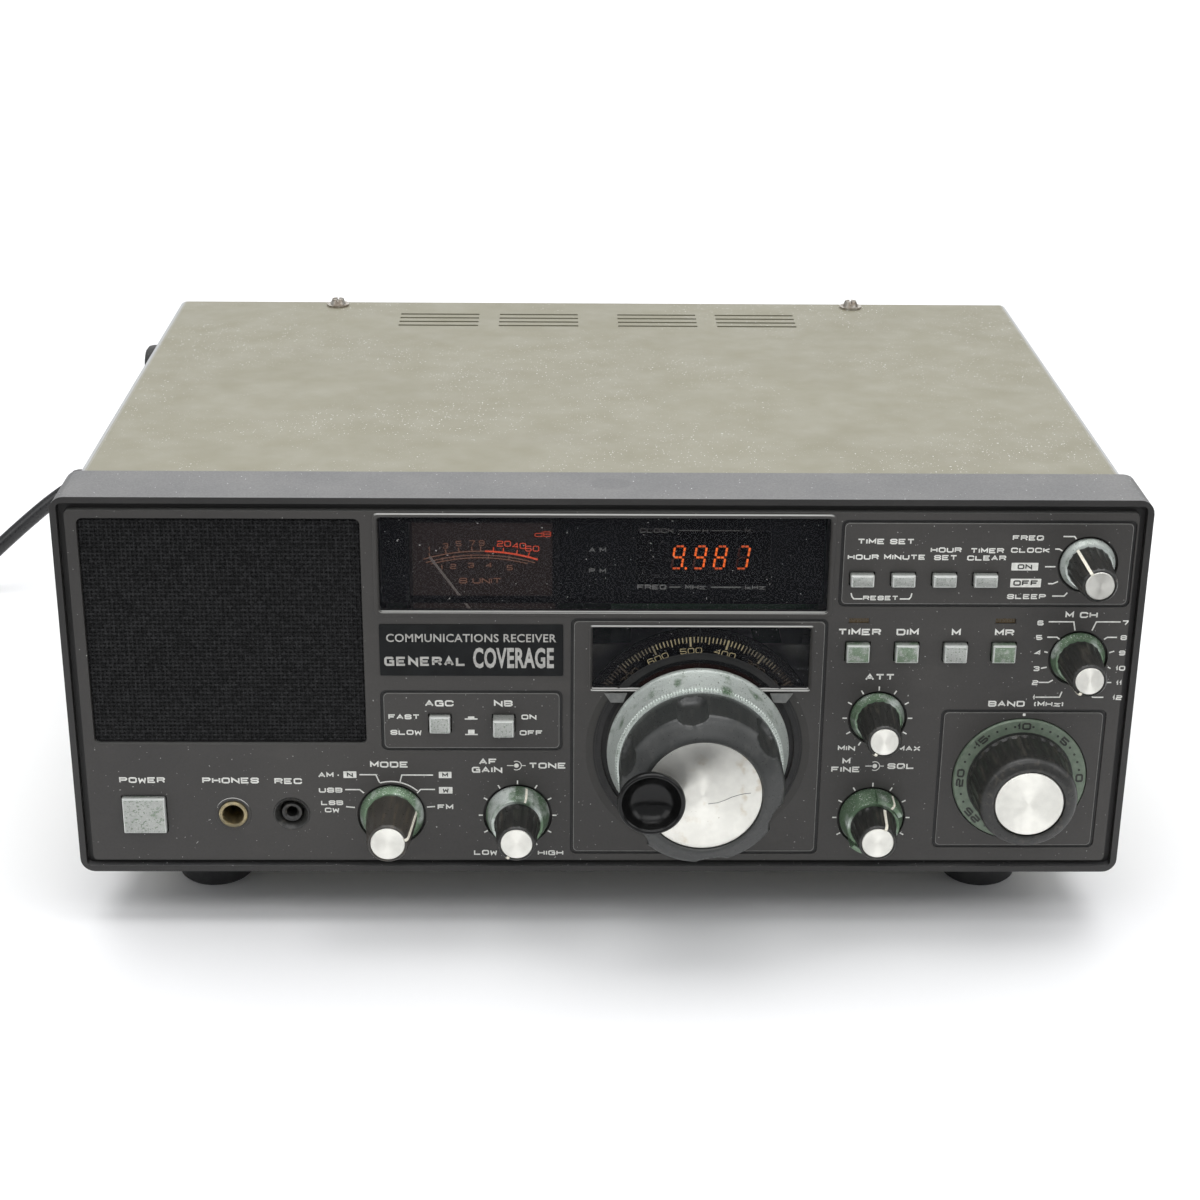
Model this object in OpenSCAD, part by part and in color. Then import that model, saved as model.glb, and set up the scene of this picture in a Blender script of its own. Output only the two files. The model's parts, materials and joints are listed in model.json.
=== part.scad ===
// Tabletop communications receiver: steel cabinet, moulded front, digital readout,
// analogue tuning dial, loudspeaker and a free mains cord.
// X is to the right, Y runs from the front to the back, Z is up.
// The origin is on the table, under the middle of the cabinet and what stands out of it.

/* [Cabinet] */
// Width of the front bezel
body_w = 334; // [320:1:350]
// Height of the front bezel
body_h = 128; // [126:1:132]
// Depth from the front panel's face to the rear panel's face
body_d = 231; // [226:1:250]
// Depth of the front bezel
bezel_d = 24; // [20:1:24]
// Height of the feet under the bezel
foot_h = 20; // [14:1:24]
// Thickness of the sheet steel covers
sheet_t = 1.2; // [0.8:0.1:1.6]
// How far the cover's top lies below the bezel's top
cover_step = 1.6; // [1:0.1:2.4]
// How far the cover's sides lie inside the bezel's sides
cover_inset = 3; // [2:0.5:4]

/* [Front panel] */
// Width of the speaker opening
grille_w = 85.4; // [80:0.2:86]
// Height of the speaker opening
grille_h = 75.8; // [70:0.2:76]
// Width of the display window
display_w = 138; // [130:1:139]
// Height of the display window
display_h = 31; // [28:0.5:31]
// Width of the tuning dial's window
dial_w = 68; // [60:1:70]
// Height of the tuning dial's window
dial_h = 21; // [18:0.5:22]

/* [Tuning knob] */
// Radius of the silver skirt behind the tuning knob
skirt_r = 28.8; // [26:0.1:29.2]
// Radius of the tuning knob's grip
grip_r = 25.2; // [22:0.1:25.6]
// How far the tuning knob's face stands out of the panel
tuning_out = 32.4; // [28:0.2:36]
// Radius of the finger knob
finger_r = 10.3; // [8:0.1:11]

/* [Small knobs and buttons] */
// How far the small knobs stand out of the panel
knob_out = 17.4; // [15:0.2:20]
// How far the mode and gain knobs stand out of the panel
low_knob_out = 19.4; // [17:0.2:21]
// Radius of a small knob's skirt
small_skirt_r = 8.5; // [8:0.1:8.8]
// Radius of a small knob's grip
small_grip_r = 5.6; // [5:0.1:6]
// Radius of a wide knob's skirt
wide_skirt_r = 10.2; // [9.5:0.1:10.4]
// Radius of a grip with a lever ring behind it
twin_grip_r = 6.2; // [5.6:0.1:6.4]
// Radius of the band knob's grip
band_grip_r = 16; // [14:0.1:16.4]
// How far the band knob stands out of the panel
band_out = 17.6; // [14:0.2:20]
// Travel of the latching buttons
latch_travel = 2.8; // [2:0.1:3]
// Travel of the sprung buttons
tap_travel = 1.6; // [1:0.1:2]

/* [Mains cord] */
// Diameter of the mains cord
cord_dia = 6.5; // [6:0.1:7]

/* [Hidden] */

$fn = 64;

// Colours
panel_grey = [0.33, 0.32, 0.31];
bezel_grey = [0.36, 0.35, 0.34];
cover_khaki = [0.66, 0.65, 0.59];
zinc = [0.72, 0.72, 0.68];
silver = [0.80, 0.80, 0.78];
patina = [0.55, 0.62, 0.55];
black = [0.06, 0.06, 0.06];
knob_grey = [0.20, 0.20, 0.20];
brass = [0.72, 0.58, 0.32];
board_green = [0.20, 0.38, 0.22];

// Levels: the front panel's face and the rear panel's outer face
front_y = -102;
rear_y = front_y + body_d;
base_z = foot_h;
corner_steps = 6;

// Front bezel and panel
bezel_wall = 2;
bezel_r = 4.5;
lip_r = 1.6;
ledge_depth = 3;
ledge_t = 3;
ledge_w = 5;
panel_t = 3;
panel_w = body_w - 8.6;
panel_h = body_h - 8.6;
groove_w = 1;
groove_depth = 0.6;

// Steel plate behind the panel that carries the controls: depth behind the panel's face
plate_d = 14;
plate_t = 1.2;

// Steel covers: size, vent slots and screws
cover_w = body_w - 2 * cover_inset;
cover_top = body_h - cover_step;
cover_bottom = 1;
cover_len = body_d - bezel_d;
slot_w = 30.4;
slot_h = 1.8;
vent_x = [-60.2, -21.9, 23.8, 61.8];
vent_d = [197.9, 203.2, 208.5, 213.8];
screw_hole_r = 1.7;
screw_x = 101;
screw_d = 226;
side_screws = [[45, 12], [215, 12]];

// Feet under the cabinet and on its left side
foot_r = 13;
foot_x = 129.5;
foot_screw_r = 2.1;
foot_places = [
  for (x = [-foot_x, foot_x], d = [37.5, 208]) [x, front_y + d]
];
side_foot_r = 8;
side_foot_t = 6;

// Chassis shelf and main circuit board: heights over the bezel's bottom
shelf_z = 22;
shelf_t = 1.5;
shelf_top = shelf_z + shelf_t / 2;
rail_x = 156;
rail_from = 28;
inner_back = 226;
board_x = -40;
board_z = 33;
board_w = 214;
board_t = 1.6;
board_from = 98;
board_to = 218;

// Loudspeaker
speaker_r = 36;
speaker_front = 6.4;

// Speaker opening, display window and dial window: centres on the panel
grille_x = -116.6;
grille_z = 83.4;
display_x = 0.2;
display_z = 106.3;
dial_x = 30.6;
dial_z = 75.3;

// Framed areas on the panel: [centre x, centre z, width, height]
frames = [
  [-40.8, 53.9, 57, 21],
  [29.9, 47.7, 79.6, 82.4],
  [117.2, 107.2, 90, 28.6],
  [132.7, 33.5, 52.2, 49.2]
];

// Tuning drive
tuning_x = 30.3;
tuning_z = 44;
well_r = 30.6;
well_step_r = 32.5;
well_edge_r = 35.4;
well_depth = 2;
shaft_r = 3;
fit_gap = 0.05;
skirt_out = 12;
flutes = 6;
flute_turn = 38;
dial_disc_r = 38.5;
dial_depth = 7;
finger_x = tuning_x - 16;
finger_z = tuning_z + 1.5;

// Small knobs: [x, z, radius of the round well]
function_at = [148.2, 107, 9.3];
channel_at = [148, 75.7, 9.3];
attenuator_at = [86.6, 55, 9.3];
mode_at = [-66.7, 20.5, 11];
gain_at = [-26.6, 20.5, 11];
fine_at = [86.5, 19.8, 10.9];
band_at = [133, 33.6, 21.6];
wells = [function_at, channel_at, attenuator_at, mode_at, gain_at, fine_at, band_at];
knob_lift = -1.2;
inner_shaft_r = 2;
ring_out = 5.2;
small_foot_r = 6.9;
twin_foot_r = 7.3;

// Buttons: [x, z, width, height, stands out]
power_at = [-145.2, 20.8, 13.6, 12.4, 1.8];
agc_at = [-50.8, 53, 6.6, 5.8, 2];
blanker_at = [-30.8, 53, 6.6, 5.8, 4.8];
small_button = [7.2, 4, 2.6];
square_button = [7.2, 6, 2.6];
small_z = 102.2;
small_x = [79.2, 91.8, 104.4, 117];
square_z = 77.9;
square_x = [79.1, 94.3, 109.4, 124.5];
small_buttons = [for (x = small_x) concat([x, small_z], small_button)];
square_buttons = [for (x = square_x) concat([x, square_z], square_button)];
latch_buttons = [power_at, agc_at, blanker_at];
tap_buttons = concat(small_buttons, square_buttons);
all_buttons = concat(latch_buttons, tap_buttons);
button_gap = 0.4;
stem_w = 3;
stem_depth = 15;
switch_depth = 12;

// Jacks
phones_at = [-117.1, 20.9];
phones_bore_r = 3.2;
record_at = [-98.6, 20.9];
record_bore_r = 1.8;

// Meter: the needle's pivot and its angle at rest, left of upright
meter_x = -37;
meter_z = 81;
meter_depth = 11;
needle_len = 29;
needle_tail = 4;
needle_rest = 35;
meter_w = 47;
meter_h = 45;
meter_mid = 97.5;
meter_wall = 1.2;

// Fluorescent display tube
tube_x = 32;
tube_z = 104.6;

// Rear connectors and the cord's exit: [x, z]
antenna_at = [118, 92];
terminal_at = [70, 92];
ground_at = [118, 45];
cord_exit = [-140, 56];
grommet_len = 24;

// Cord: its route from the grommet to the coil, and from the coil to the plug
cord_path = [
  [-140, 153, 76], [-140, 160, 76], [-142, 169, 75.5], [-148, 178, 74.5],
  [-158, 184, 73], [-170, 187, 70.5], [-184, 188, 66.5], [-198, 188, 61.5],
  [-212, 188, 55], [-225, 188, 48], [-236, 187, 40.5], [-247, 186, 31.5],
  [-258, 184, 22], [-268, 180, 13.5], [-280, 171, 7], [-291, 161.5, 4],
  [-302, 152, 3.4], [-313, 143, 3.4], [-324, 133.6, 3.4], [-335, 124.2, 3.4]
];
tail_path = [
  [-347.5, 77.6, 9.9], [-344.6, 69, 8.8], [-341.8, 60, 7.2], [-339.2, 51, 6.3],
  [-337, 42, 6.2]
];
coil_at = [-308, 92];
coil_r = 35.5;
coil_tracks = 3;
coil_layers = 2;
cord_sides = 10;
plug_t = 12;
plug_at = [-337, 42, plug_t / 2 + 0.2];
plug_turn = -76;
pin_pitch = 12.7;

// Points of a rounded rectangle about the origin
function corner_arc(x, y, r, start) = [
  for (i = [0:corner_steps])
    [x + r * cos(start + 90 * i / corner_steps), y + r * sin(start + 90 * i / corner_steps)]
];
function rounded(w, h, r) = concat(
  corner_arc(w / 2 - r, h / 2 - r, r, 0),
  corner_arc(r - w / 2, h / 2 - r, r, 90),
  corner_arc(r - w / 2, r - h / 2, r, 180),
  corner_arc(w / 2 - r, r - h / 2, r, 270)
);

// A rounded slab that lies on the local XY plane
module slab(w, h, t, r) {
  linear_extrude(t) polygon(rounded(w, h, r));
}

// Children stand on the front panel at (x, z), with local +Z pointing out at the user
module facing(x, z, out = 0) {
  translate([x, front_y - out, base_z + z]) rotate([90, 0, 0]) children();
}

// Children stand on the rear panel at (x, z), with local +Z pointing out at the back
module behind(x, z, out = 0) {
  translate([x, rear_y + out, base_z + z]) rotate([-90, 0, 0]) children();
}

// A box between two depths behind the panel's face
module inner_box(x, z, w, h, from, to) {
  translate([x - w / 2, front_y + from, base_z + z - h / 2]) cube([w, to - from, h]);
}

// ---- Cabinet ----

module front_bezel() {
  color(bezel_grey) difference() {
    facing(0, body_h / 2, -bezel_d) slab(body_w, body_h, bezel_d, bezel_r);
    facing(0, body_h / 2, -ledge_depth)
      slab(body_w - 2 * bezel_wall, body_h - 2 * bezel_wall, bezel_d, lip_r);
    facing(0, body_h / 2, -bezel_d - 1)
      slab(body_w - 2 * ledge_w - 4, body_h - 2 * ledge_w - 4, bezel_d + 2, 2);
    facing(0, body_h / 2, -bezel_d - 1)
      slab(body_w - 2 * bezel_wall, body_h - 2 * bezel_wall,
           bezel_d + 1 - ledge_depth - ledge_t, lip_r);
  }
}

// A shallow groove round one framed area
module frame_groove(f) {
  facing(f[0], f[1], -groove_depth) difference() {
    slab(f[2], f[3], 2, 2);
    translate([0, 0, -1]) slab(f[2] - 2 * groove_w, f[3] - 2 * groove_w, 4, 1.2);
  }
}

// The round, stepped well behind the tuning knob, cut off below the dial window
module tuning_well() {
  well_top = dial_z - dial_h / 2 - 0.8;
  intersection() {
    facing(tuning_x, tuning_z, -well_depth) union() {
      cylinder(r = well_r, h = well_depth + 1);
      translate([0, 0, well_depth - 0.8]) cylinder(r1 = well_step_r, r2 = well_edge_r, h = 0.8);
      translate([0, 0, well_depth]) cylinder(r = well_edge_r, h = 1);
    }
    inner_box(tuning_x, well_top / 2, 80, well_top, -4, 10);
  }
}

module button_hole(b) {
  facing(b[0], b[1], -panel_t - 1) slab(b[2] + 2 * button_gap, b[3] + 2 * button_gap, panel_t + 2, 0.4);
}

module front_panel() {
  color(panel_grey) difference() {
    facing(0, body_h / 2, -panel_t) slab(panel_w, panel_h, panel_t, 1.4);
    facing(grille_x, grille_z, -panel_t - 1) slab(grille_w, grille_h, panel_t + 2, 2);
    facing(display_x, display_z, -panel_t - 1) slab(display_w, display_h, panel_t + 2, 1.2);
    facing(dial_x, dial_z, -panel_t - 1) slab(dial_w, dial_h, panel_t + 2, 0.6);
    tuning_well();
    facing(tuning_x, tuning_z, -panel_t - 1) cylinder(r = 6, h = panel_t + 2);
    for (f = frames) frame_groove(f);
    for (w = wells) {
      facing(w[0], w[1], -well_depth) cylinder(r = w[2], h = well_depth + 1);
      facing(w[0], w[1], -panel_t - 1) cylinder(r = 5, h = panel_t + 2);
    }
    for (b = all_buttons) button_hole(b);
    facing(phones_at[0], phones_at[1], -panel_t - 1) cylinder(r = 4.8, h = panel_t + 2);
    facing(record_at[0], record_at[1], -panel_t - 1) cylinder(r = 5.8, h = panel_t + 2);
    for (x = [square_x[0], square_x[3]])
      facing(x, 88.2, -panel_t - 1) slab(6.4, 1.9, panel_t + 2, 0.3);
  }
}

module control_plate() {
  cut_from = plate_d - 1;
  cut_to = plate_d + 2;
  color(zinc) difference() {
    inner_box(0, 64, 318, 112, plate_d, plate_d + plate_t);
    inner_box(grille_x, grille_z, 80, 74, cut_from, cut_to);
    inner_box(display_x, 98, 136, 48, cut_from, cut_to);
    inner_box(tuning_x, tuning_z, 44, 44, cut_from, cut_to);
    for (w = wells) facing(w[0], w[1], -cut_to) cylinder(r = 5, h = 3);
    for (b = all_buttons) inner_box(b[0], b[1], 12, 9, cut_from, cut_to);
    facing(phones_at[0], phones_at[1], -cut_to) cylinder(r = 7.3, h = 3);
    facing(record_at[0], record_at[1], -cut_to) cylinder(r = 5.3, h = 3);
  }
}

// Holes through both side walls for the cover screws
module side_screw_holes() {
  for (s = side_screws)
    translate([-body_w / 2, front_y + s[0], base_z + s[1]]) rotate([0, 90, 0])
      cylinder(r = screw_hole_r, h = body_w);
}

module top_cover() {
  cover_h = cover_top + 8;
  color(cover_khaki) difference() {
    facing(0, cover_top - cover_h / 2, -body_d) slab(cover_w, cover_h, cover_len, 3);
    facing(0, cover_top - sheet_t - cover_h / 2, -body_d - 1)
      slab(cover_w - 2 * sheet_t, cover_h, cover_len + 2, 2);
    translate([-body_w, front_y, base_z + cover_bottom - 30]) cube([2 * body_w, body_d + 10, 30]);
    for (x = vent_x, d = vent_d)
      translate([x - slot_w / 2, front_y + d - slot_h / 2, base_z + cover_top - 5])
        cube([slot_w, slot_h, 10]);
    for (x = [-screw_x, screw_x])
      translate([x, front_y + screw_d, base_z + cover_top - 5]) cylinder(r = screw_hole_r, h = 10);
    side_screw_holes();
  }
}

module bottom_cover() {
  lip_x = cover_w / 2 - sheet_t - 0.3;
  color(cover_khaki) difference() {
    union() {
      translate([-lip_x, front_y + bezel_d + 0.2, base_z + cover_bottom])
        cube([2 * lip_x, cover_len - 2, sheet_t]);
      for (x = [-lip_x, lip_x - sheet_t])
        translate([x, front_y + bezel_d + 0.2, base_z + cover_bottom]) cube([sheet_t, cover_len - 2, 16]);
    }
    for (x = [-90:12:90])
      translate([x - 1.5, front_y + 90, base_z]) cube([3, 60, 4]);
    side_screw_holes();
    for (p = foot_places)
      translate([p[0], p[1], base_z - 1]) cylinder(r = foot_screw_r, h = 5);
  }
}

// Shelf and two side rails, with posts under the main board
module chassis() {
  post_h = board_z - board_t / 2 - shelf_top;
  color(zinc) {
    inner_box(0, shelf_z, 2 * rail_x, shelf_t, 40, inner_back);
    for (x = [-rail_x, rail_x]) inner_box(x, 62, shelf_t, 81.5, rail_from, inner_back);
    for (x = [board_x - board_w / 2 + 6, board_x + board_w / 2 - 6], d = [board_from + 6, board_to - 6])
      translate([x, front_y + d, base_z + shelf_top]) cylinder(r = 3, h = post_h);
  }
}

module rear_panel() {
  color(cover_khaki) difference() {
    union() {
      inner_box(0, 63.8, cover_w - 2 * sheet_t - 1, 120, body_d - 1.5, body_d);
      inner_box(0, cover_top - sheet_t - 0.9, 300, 1.4, body_d - 16, body_d - 1);
    }
    for (x = [-screw_x, screw_x])
      translate([x, front_y + screw_d, base_z + cover_top - 8]) cylinder(r = 1.3, h = 10);
    behind(cord_exit[0], cord_exit[1], -4) cylinder(r = 5, h = 6);
    behind(antenna_at[0], antenna_at[1], -4) cylinder(r = 7, h = 6);
    behind(ground_at[0], ground_at[1], -4) cylinder(r = 2.1, h = 6);
  }
}

module circuit_boards() {
  color(board_green) {
    inner_box(board_x, board_z, board_w, board_t, board_from, board_to);
    inner_box(34, 100, 62, 30, 14, 15.6);
    inner_box(99, 92, 70, 34, 26.2, 27.8);
    for (x = [-120:24:40], d = [105:26:200])
      inner_box(x, board_z + 7, 10, 14 - board_t, d, d + 10);
  }
}

module shield_box() {
  color(zinc) difference() {
    inner_box(108, shelf_top + 25, 76, 50, 70, 200);
    inner_box(108, shelf_top + 24, 74, 50, 71, 199);
  }
}

// Laminated core with a winding and its end bells, on the shelf
module power_transformer() {
  core_z = shelf_top + 24;
  color(zinc) inner_box(-118, core_z, 58, 48, 60, 84);
  color(black) {
    inner_box(-118, core_z, 40, 34, 48, 60);
    inner_box(-118, core_z, 40, 34, 84, 94);
  }
}

// ---- Feet and fasteners ----

module feet() {
  top = base_z + cover_bottom;
  color(black) for (p = foot_places) translate([p[0], p[1], 0]) difference() {
    rotate_extrude() polygon([
      [0, 0], [foot_r - 1.6, 0], [foot_r - 0.6, 1], [foot_r, 6], [foot_r, top], [0, top]
    ]);
    translate([0, 0, -1]) cylinder(r = 4.5, h = 9);
    cylinder(r = foot_screw_r, h = top + 1);
  }
}

module side_feet() {
  color(black) for (d = [44, 187], z = [24, 113])
    translate([-cover_w / 2 - side_foot_t, front_y + d, base_z + z]) rotate([0, 90, 0])
      rotate_extrude() polygon([
        [0, 0], [side_foot_r - 1.6, 0], [side_foot_r - 0.4, 1], [side_foot_r, 2.5],
        [side_foot_r, side_foot_t], [0, side_foot_t]
      ]);
}

// A pan-head screw with its washer, standing on the local XY plane
module screw(washer_r, head_r, shank_r, shank_len) {
  cylinder(r = washer_r, h = 0.8);
  translate([0, 0, 0.8]) difference() {
    cylinder(r1 = head_r, r2 = head_r - 0.8, h = 2);
    translate([-head_r, -0.35, 1.2]) cube([2 * head_r, 0.7, 2]);
    translate([-0.35, -head_r, 1.2]) cube([0.7, 2 * head_r, 2]);
  }
  translate([0, 0, -shank_len]) cylinder(r = shank_r, h = shank_len);
}

module cover_screws() {
  color(zinc) {
    for (x = [-screw_x, screw_x])
      translate([x, front_y + screw_d, base_z + cover_top]) screw(4.3, 3, 1.2, 5);
    for (s = side_screws, side = [-1, 1])
      translate([side * cover_w / 2, front_y + s[0], base_z + s[1]])
        rotate([0, 90 * side, 0]) screw(4, 2.8, 1.5, 4);
    for (p = foot_places) translate([p[0], p[1], 8]) rotate([180, 0, 0])
      screw(4, 2.8, 2, 17);
  }
}

// ---- Loudspeaker ----

module speaker_grille() {
  color(black) facing(grille_x, grille_z, -2.2) slab(grille_w - 0.2, grille_h - 0.2, 1.2, 1.9);
}

module speaker_frame() {
  color(zinc) translate([grille_x, front_y + speaker_front, base_z + grille_z]) rotate([-90, 0, 0])
    rotate_extrude() polygon([
      [speaker_r, 0], [speaker_r, 2], [speaker_r - 2, 2], [18, 20], [20, 20], [20, 34],
      [0, 34], [0, 25], [16, 25], [16, 19.4], [speaker_r - 3.4, 1], [speaker_r - 3.4, 0]
    ]);
}

module speaker_cone() {
  color(knob_grey) translate([grille_x, front_y + speaker_front, base_z + grille_z]) rotate([-90, 0, 0])
    rotate_extrude() polygon([
      [31.4, 1.2], [12, 15.5], [12, 17.5], [8, 17.5], [6, 12], [0, 10.5],
      [0, 9.5], [7, 11], [9.5, 15], [30.6, 1.2]
    ]);
}

// ---- Display and meter ----

module display_window() {
  color([0.05, 0.05, 0.06]) facing(display_x, display_z, -2.9)
    slab(display_w - 0.2, display_h - 0.2, 2.2, 1.1);
}

module meter_case() {
  color(knob_grey) difference() {
    inner_box(meter_x, meter_mid, meter_w, meter_h, 3.4, 34);
    inner_box(meter_x, meter_mid, meter_w - 2 * meter_wall, meter_h - 2 * meter_wall, 3, 14.8);
  }
}

module meter_scale() {
  color([0.16, 0.1, 0.08])
    inner_box(meter_x, meter_mid, meter_w - 2 * meter_wall - 0.2, meter_h - 2 * meter_wall - 0.2, 14, 14.8);
}

module meter_needle() {
  color("gainsboro") translate([meter_x, front_y + meter_depth, base_z + meter_z])
    rotate([0, -needle_rest, 0]) union() {
      translate([-0.3, -0.3, -needle_tail]) cube([0.6, 0.6, needle_len + needle_tail]);
      translate([-1.5, -0.8, -needle_tail]) cube([3, 1.6, 2]);
      translate([0, -1, 0]) rotate([-90, 0, 0]) cylinder(r = 1.4, h = 2);
    }
}

module display_tube() {
  color([0.1, 0.12, 0.11]) {
    inner_box(tube_x, tube_z, 50, 20, 8, 13);
    for (x = [-22:4:22]) inner_box(tube_x + x, tube_z - 12, 0.6, 4, 10, 10.6);
  }
}

// ---- Tuning drive ----

module dial_window() {
  color([0.05, 0.05, 0.05]) facing(dial_x, dial_z, -2.4) slab(dial_w - 0.2, dial_h - 0.2, 1.6, 0.5);
}

module dial_disc() {
  color([0.08, 0.07, 0.06]) facing(tuning_x, tuning_z, -dial_depth - 1.2) difference() {
    union() {
      cylinder(r = dial_disc_r, h = 1.2);
      translate([0, 0, -4]) cylinder(r = 8, h = 4.6);
    }
    translate([0, 0, -8]) cylinder(r = 3.6, h = 12);
  }
}

module tuning_gearbox() {
  color(zinc) difference() {
    inner_box(tuning_x, tuning_z, 40, 40, 15.4, 50);
    facing(tuning_x, tuning_z, -60) cylinder(r = shaft_r + fit_gap, h = 60);
  }
}

module tuning_shaft() {
  color(silver) facing(tuning_x, tuning_z, -54) cylinder(r = shaft_r, h = 54 + 20);
}

module tuning_skirt() {
  color(patina) facing(tuning_x, tuning_z, 0.5) difference() {
    rotate_extrude() polygon([
      [skirt_r - 1.4, 0], [skirt_r, 0.6], [skirt_r - 0.6, 4], [26, skirt_out - 1.2],
      [25.6, skirt_out - 0.4], [23.5, skirt_out - 0.4], [23.5, 3], [0, 3], [0, 0]
    ]);
    translate([0, 0, -1]) cylinder(r = shaft_r, h = 6);
  }
}

module tuning_knob() {
  hub = 3.5;
  color(knob_grey) facing(tuning_x, tuning_z, hub) difference() {
    rotate_extrude() polygon([
      [0, 0], [23.4, 0], [23.4, 9], [grip_r, 9.5], [grip_r, 24], [grip_r - 1.2, 26.4],
      [20, tuning_out - hub], [18.2, tuning_out - hub], [18.2, tuning_out - hub - 0.8],
      [0, tuning_out - hub - 0.8]
    ]);
    for (i = [0:flutes - 1]) rotate(i * 360 / flutes + flute_turn)
      translate([grip_r + 4, 0, 11]) cylinder(r = 6, h = 30);
    translate([0, 0, -1]) cylinder(r = shaft_r, h = 17.5);
    translate([finger_x - tuning_x, finger_z - tuning_z, tuning_out - hub - 8])
      cylinder(r = 1.6 + fit_gap, h = 10);
  }
}

module finger_knob() {
  face = tuning_out - 0.8;
  color(black) facing(finger_x, finger_z, face) rotate_extrude() polygon([
    [0, -7], [1.6, -7], [1.6, 0.3], [1.9, 0.3], [1.9, 1.4], [4.6, 1.8], [5.4, 3.4], [finger_r - 1, 4.8],
    [finger_r, 5.8], [finger_r, 8.2], [finger_r - 0.8, 9], [finger_r - 1.8, 8.4],
    [6, 6.6], [0, 5.8]
  ]);
}

// ---- Buttons ----

// A push button with its stem, standing out of the panel at rest
module button(b) {
  color(silver) union() {
    facing(b[0], b[1], -panel_t) slab(b[2], b[3], panel_t + b[4] - 0.4, 0.4);
    facing(b[0], b[1], b[4] - 0.4) slab(b[2] - 0.6, b[3] - 0.6, 0.4, 0.3);
    inner_box(b[0], b[1], stem_w, stem_w, panel_t, stem_depth);
  }
}

module power_button() { button(power_at); }
module agc_button() { button(agc_at); }
module blanker_button() { button(blanker_at); }
module hour_button() { button(small_buttons[0]); }
module minute_button() { button(small_buttons[1]); }
module set_button() { button(small_buttons[2]); }
module clear_button() { button(small_buttons[3]); }
module timer_button() { button(square_buttons[0]); }
module dim_button() { button(square_buttons[1]); }
module memory_button() { button(square_buttons[2]); }
module recall_button() { button(square_buttons[3]); }

// A switch housing behind a button, with a square way for the stem's travel
module switch_body(b, travel) {
  way = stem_w + 0.8;
  difference() {
    inner_box(b[0], b[1], 10, 8, switch_depth, switch_depth + 14);
    inner_box(b[0], b[1], way, way, switch_depth - 1, stem_depth + travel + 2);
  }
}

module switch_bodies() {
  color(knob_grey) {
    for (b = latch_buttons) switch_body(b, latch_travel);
    for (b = tap_buttons) switch_body(b, tap_travel);
  }
}

// ---- Small knobs ----

// A knob with its shaft, standing on the panel
module knob(at, skirt, foot, grip, out, shaft, lift = knob_lift) {
  color(knob_grey) facing(at[0], at[1], 0) rotate_extrude() polygon([
    [0, -22], [shaft, -22], [shaft, lift], [skirt - 0.5, lift], [skirt, lift + 0.8],
    [skirt - 0.8, lift + 2], [foot, lift + 2.8], [foot - 0.1, lift + 3.6], [grip, out - 1],
    [grip - 0.8, out], [0, out]
  ]);
}

// A lever ring round a knob, on its own hollow shaft
module lever_ring(at, tab_turn) {
  color(patina) facing(at[0], at[1], 0) difference() {
    union() {
      rotate_extrude() polygon([
        [1, -22], [shaft_r, -22], [shaft_r, knob_lift], [wide_skirt_r - 0.6, knob_lift],
        [wide_skirt_r, knob_lift + 0.8], [wide_skirt_r - 0.4, 1.4], [8.4, ring_out], [1, ring_out]
      ]);
      rotate(tab_turn) translate([-2.4, 7.6, 1]) cube([4.8, 2.4, ring_out + 0.6]);
    }
    translate([0, 0, -23]) cylinder(r = inner_shaft_r + fit_gap, h = 40);
  }
}

module small_knob(at) { knob(at, small_skirt_r, small_foot_r, small_grip_r, knob_out, shaft_r); }
module function_knob() { small_knob(function_at); }
module channel_knob() { small_knob(channel_at); }
module attenuator_knob() { small_knob(attenuator_at); }
module mode_knob() { knob(mode_at, wide_skirt_r, 8.2, 6.6, low_knob_out, shaft_r); }
module twin_knob(at, out) {
  knob(at, 7.6, twin_foot_r, twin_grip_r, out, inner_shaft_r, ring_out + 0.4);
}

module gain_knob() { twin_knob(gain_at, low_knob_out); }
module tone_ring() { lever_ring(gain_at, -10); }
module fine_knob() { twin_knob(fine_at, knob_out); }
module squelch_ring() { lever_ring(fine_at, -50); }

module band_knob() {
  color(knob_grey) facing(band_at[0], band_at[1], 0) rotate_extrude() polygon([
    [0, -22], [shaft_r, -22], [shaft_r, 1], [band_grip_r, 1], [band_grip_r - 0.6, band_out - 2.4],
    [band_grip_r - 2, band_out - 0.6], [11.2, band_out], [11, band_out - 0.4], [0, band_out - 0.4]
  ]);
}

module band_dial() {
  color(patina) facing(band_at[0], band_at[1], 0) difference() {
    translate([0, 0, -1.4]) cylinder(r = 21, h = 2.2);
    translate([0, 0, -2]) cylinder(r = shaft_r, h = 5);
  }
}

// Potentiometers and rotary switches behind the control plate
module control_bodies() {
  color(zinc) for (w = wells) facing(w[0], w[1], 0) difference() {
    union() {
      translate([0, 0, -15.4 - 12]) cylinder(r = 9, h = 12);
      translate([0, 0, -16]) cylinder(r = 4.6, h = 8);
    }
    translate([0, 0, -24]) cylinder(r = shaft_r + fit_gap, h = 30);
  }
}

module indicator_lenses() {
  color([0.35, 0.2, 0.08]) for (x = [square_x[0], square_x[3]])
    facing(x, 88.2, -4) slab(6.2, 1.7, 3.4, 0.2);
}

// ---- Sockets ----

module phones_jack() {
  color(brass) facing(phones_at[0], phones_at[1], 0) difference() {
    union() {
      translate([0, 0, -10]) cylinder(r = 4.7, h = 11);
      translate([0, 0, -36]) cylinder(r = 7, h = 26);
    }
    translate([0, 0, -34]) cylinder(r = phones_bore_r, h = 40);
  }
}

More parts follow.
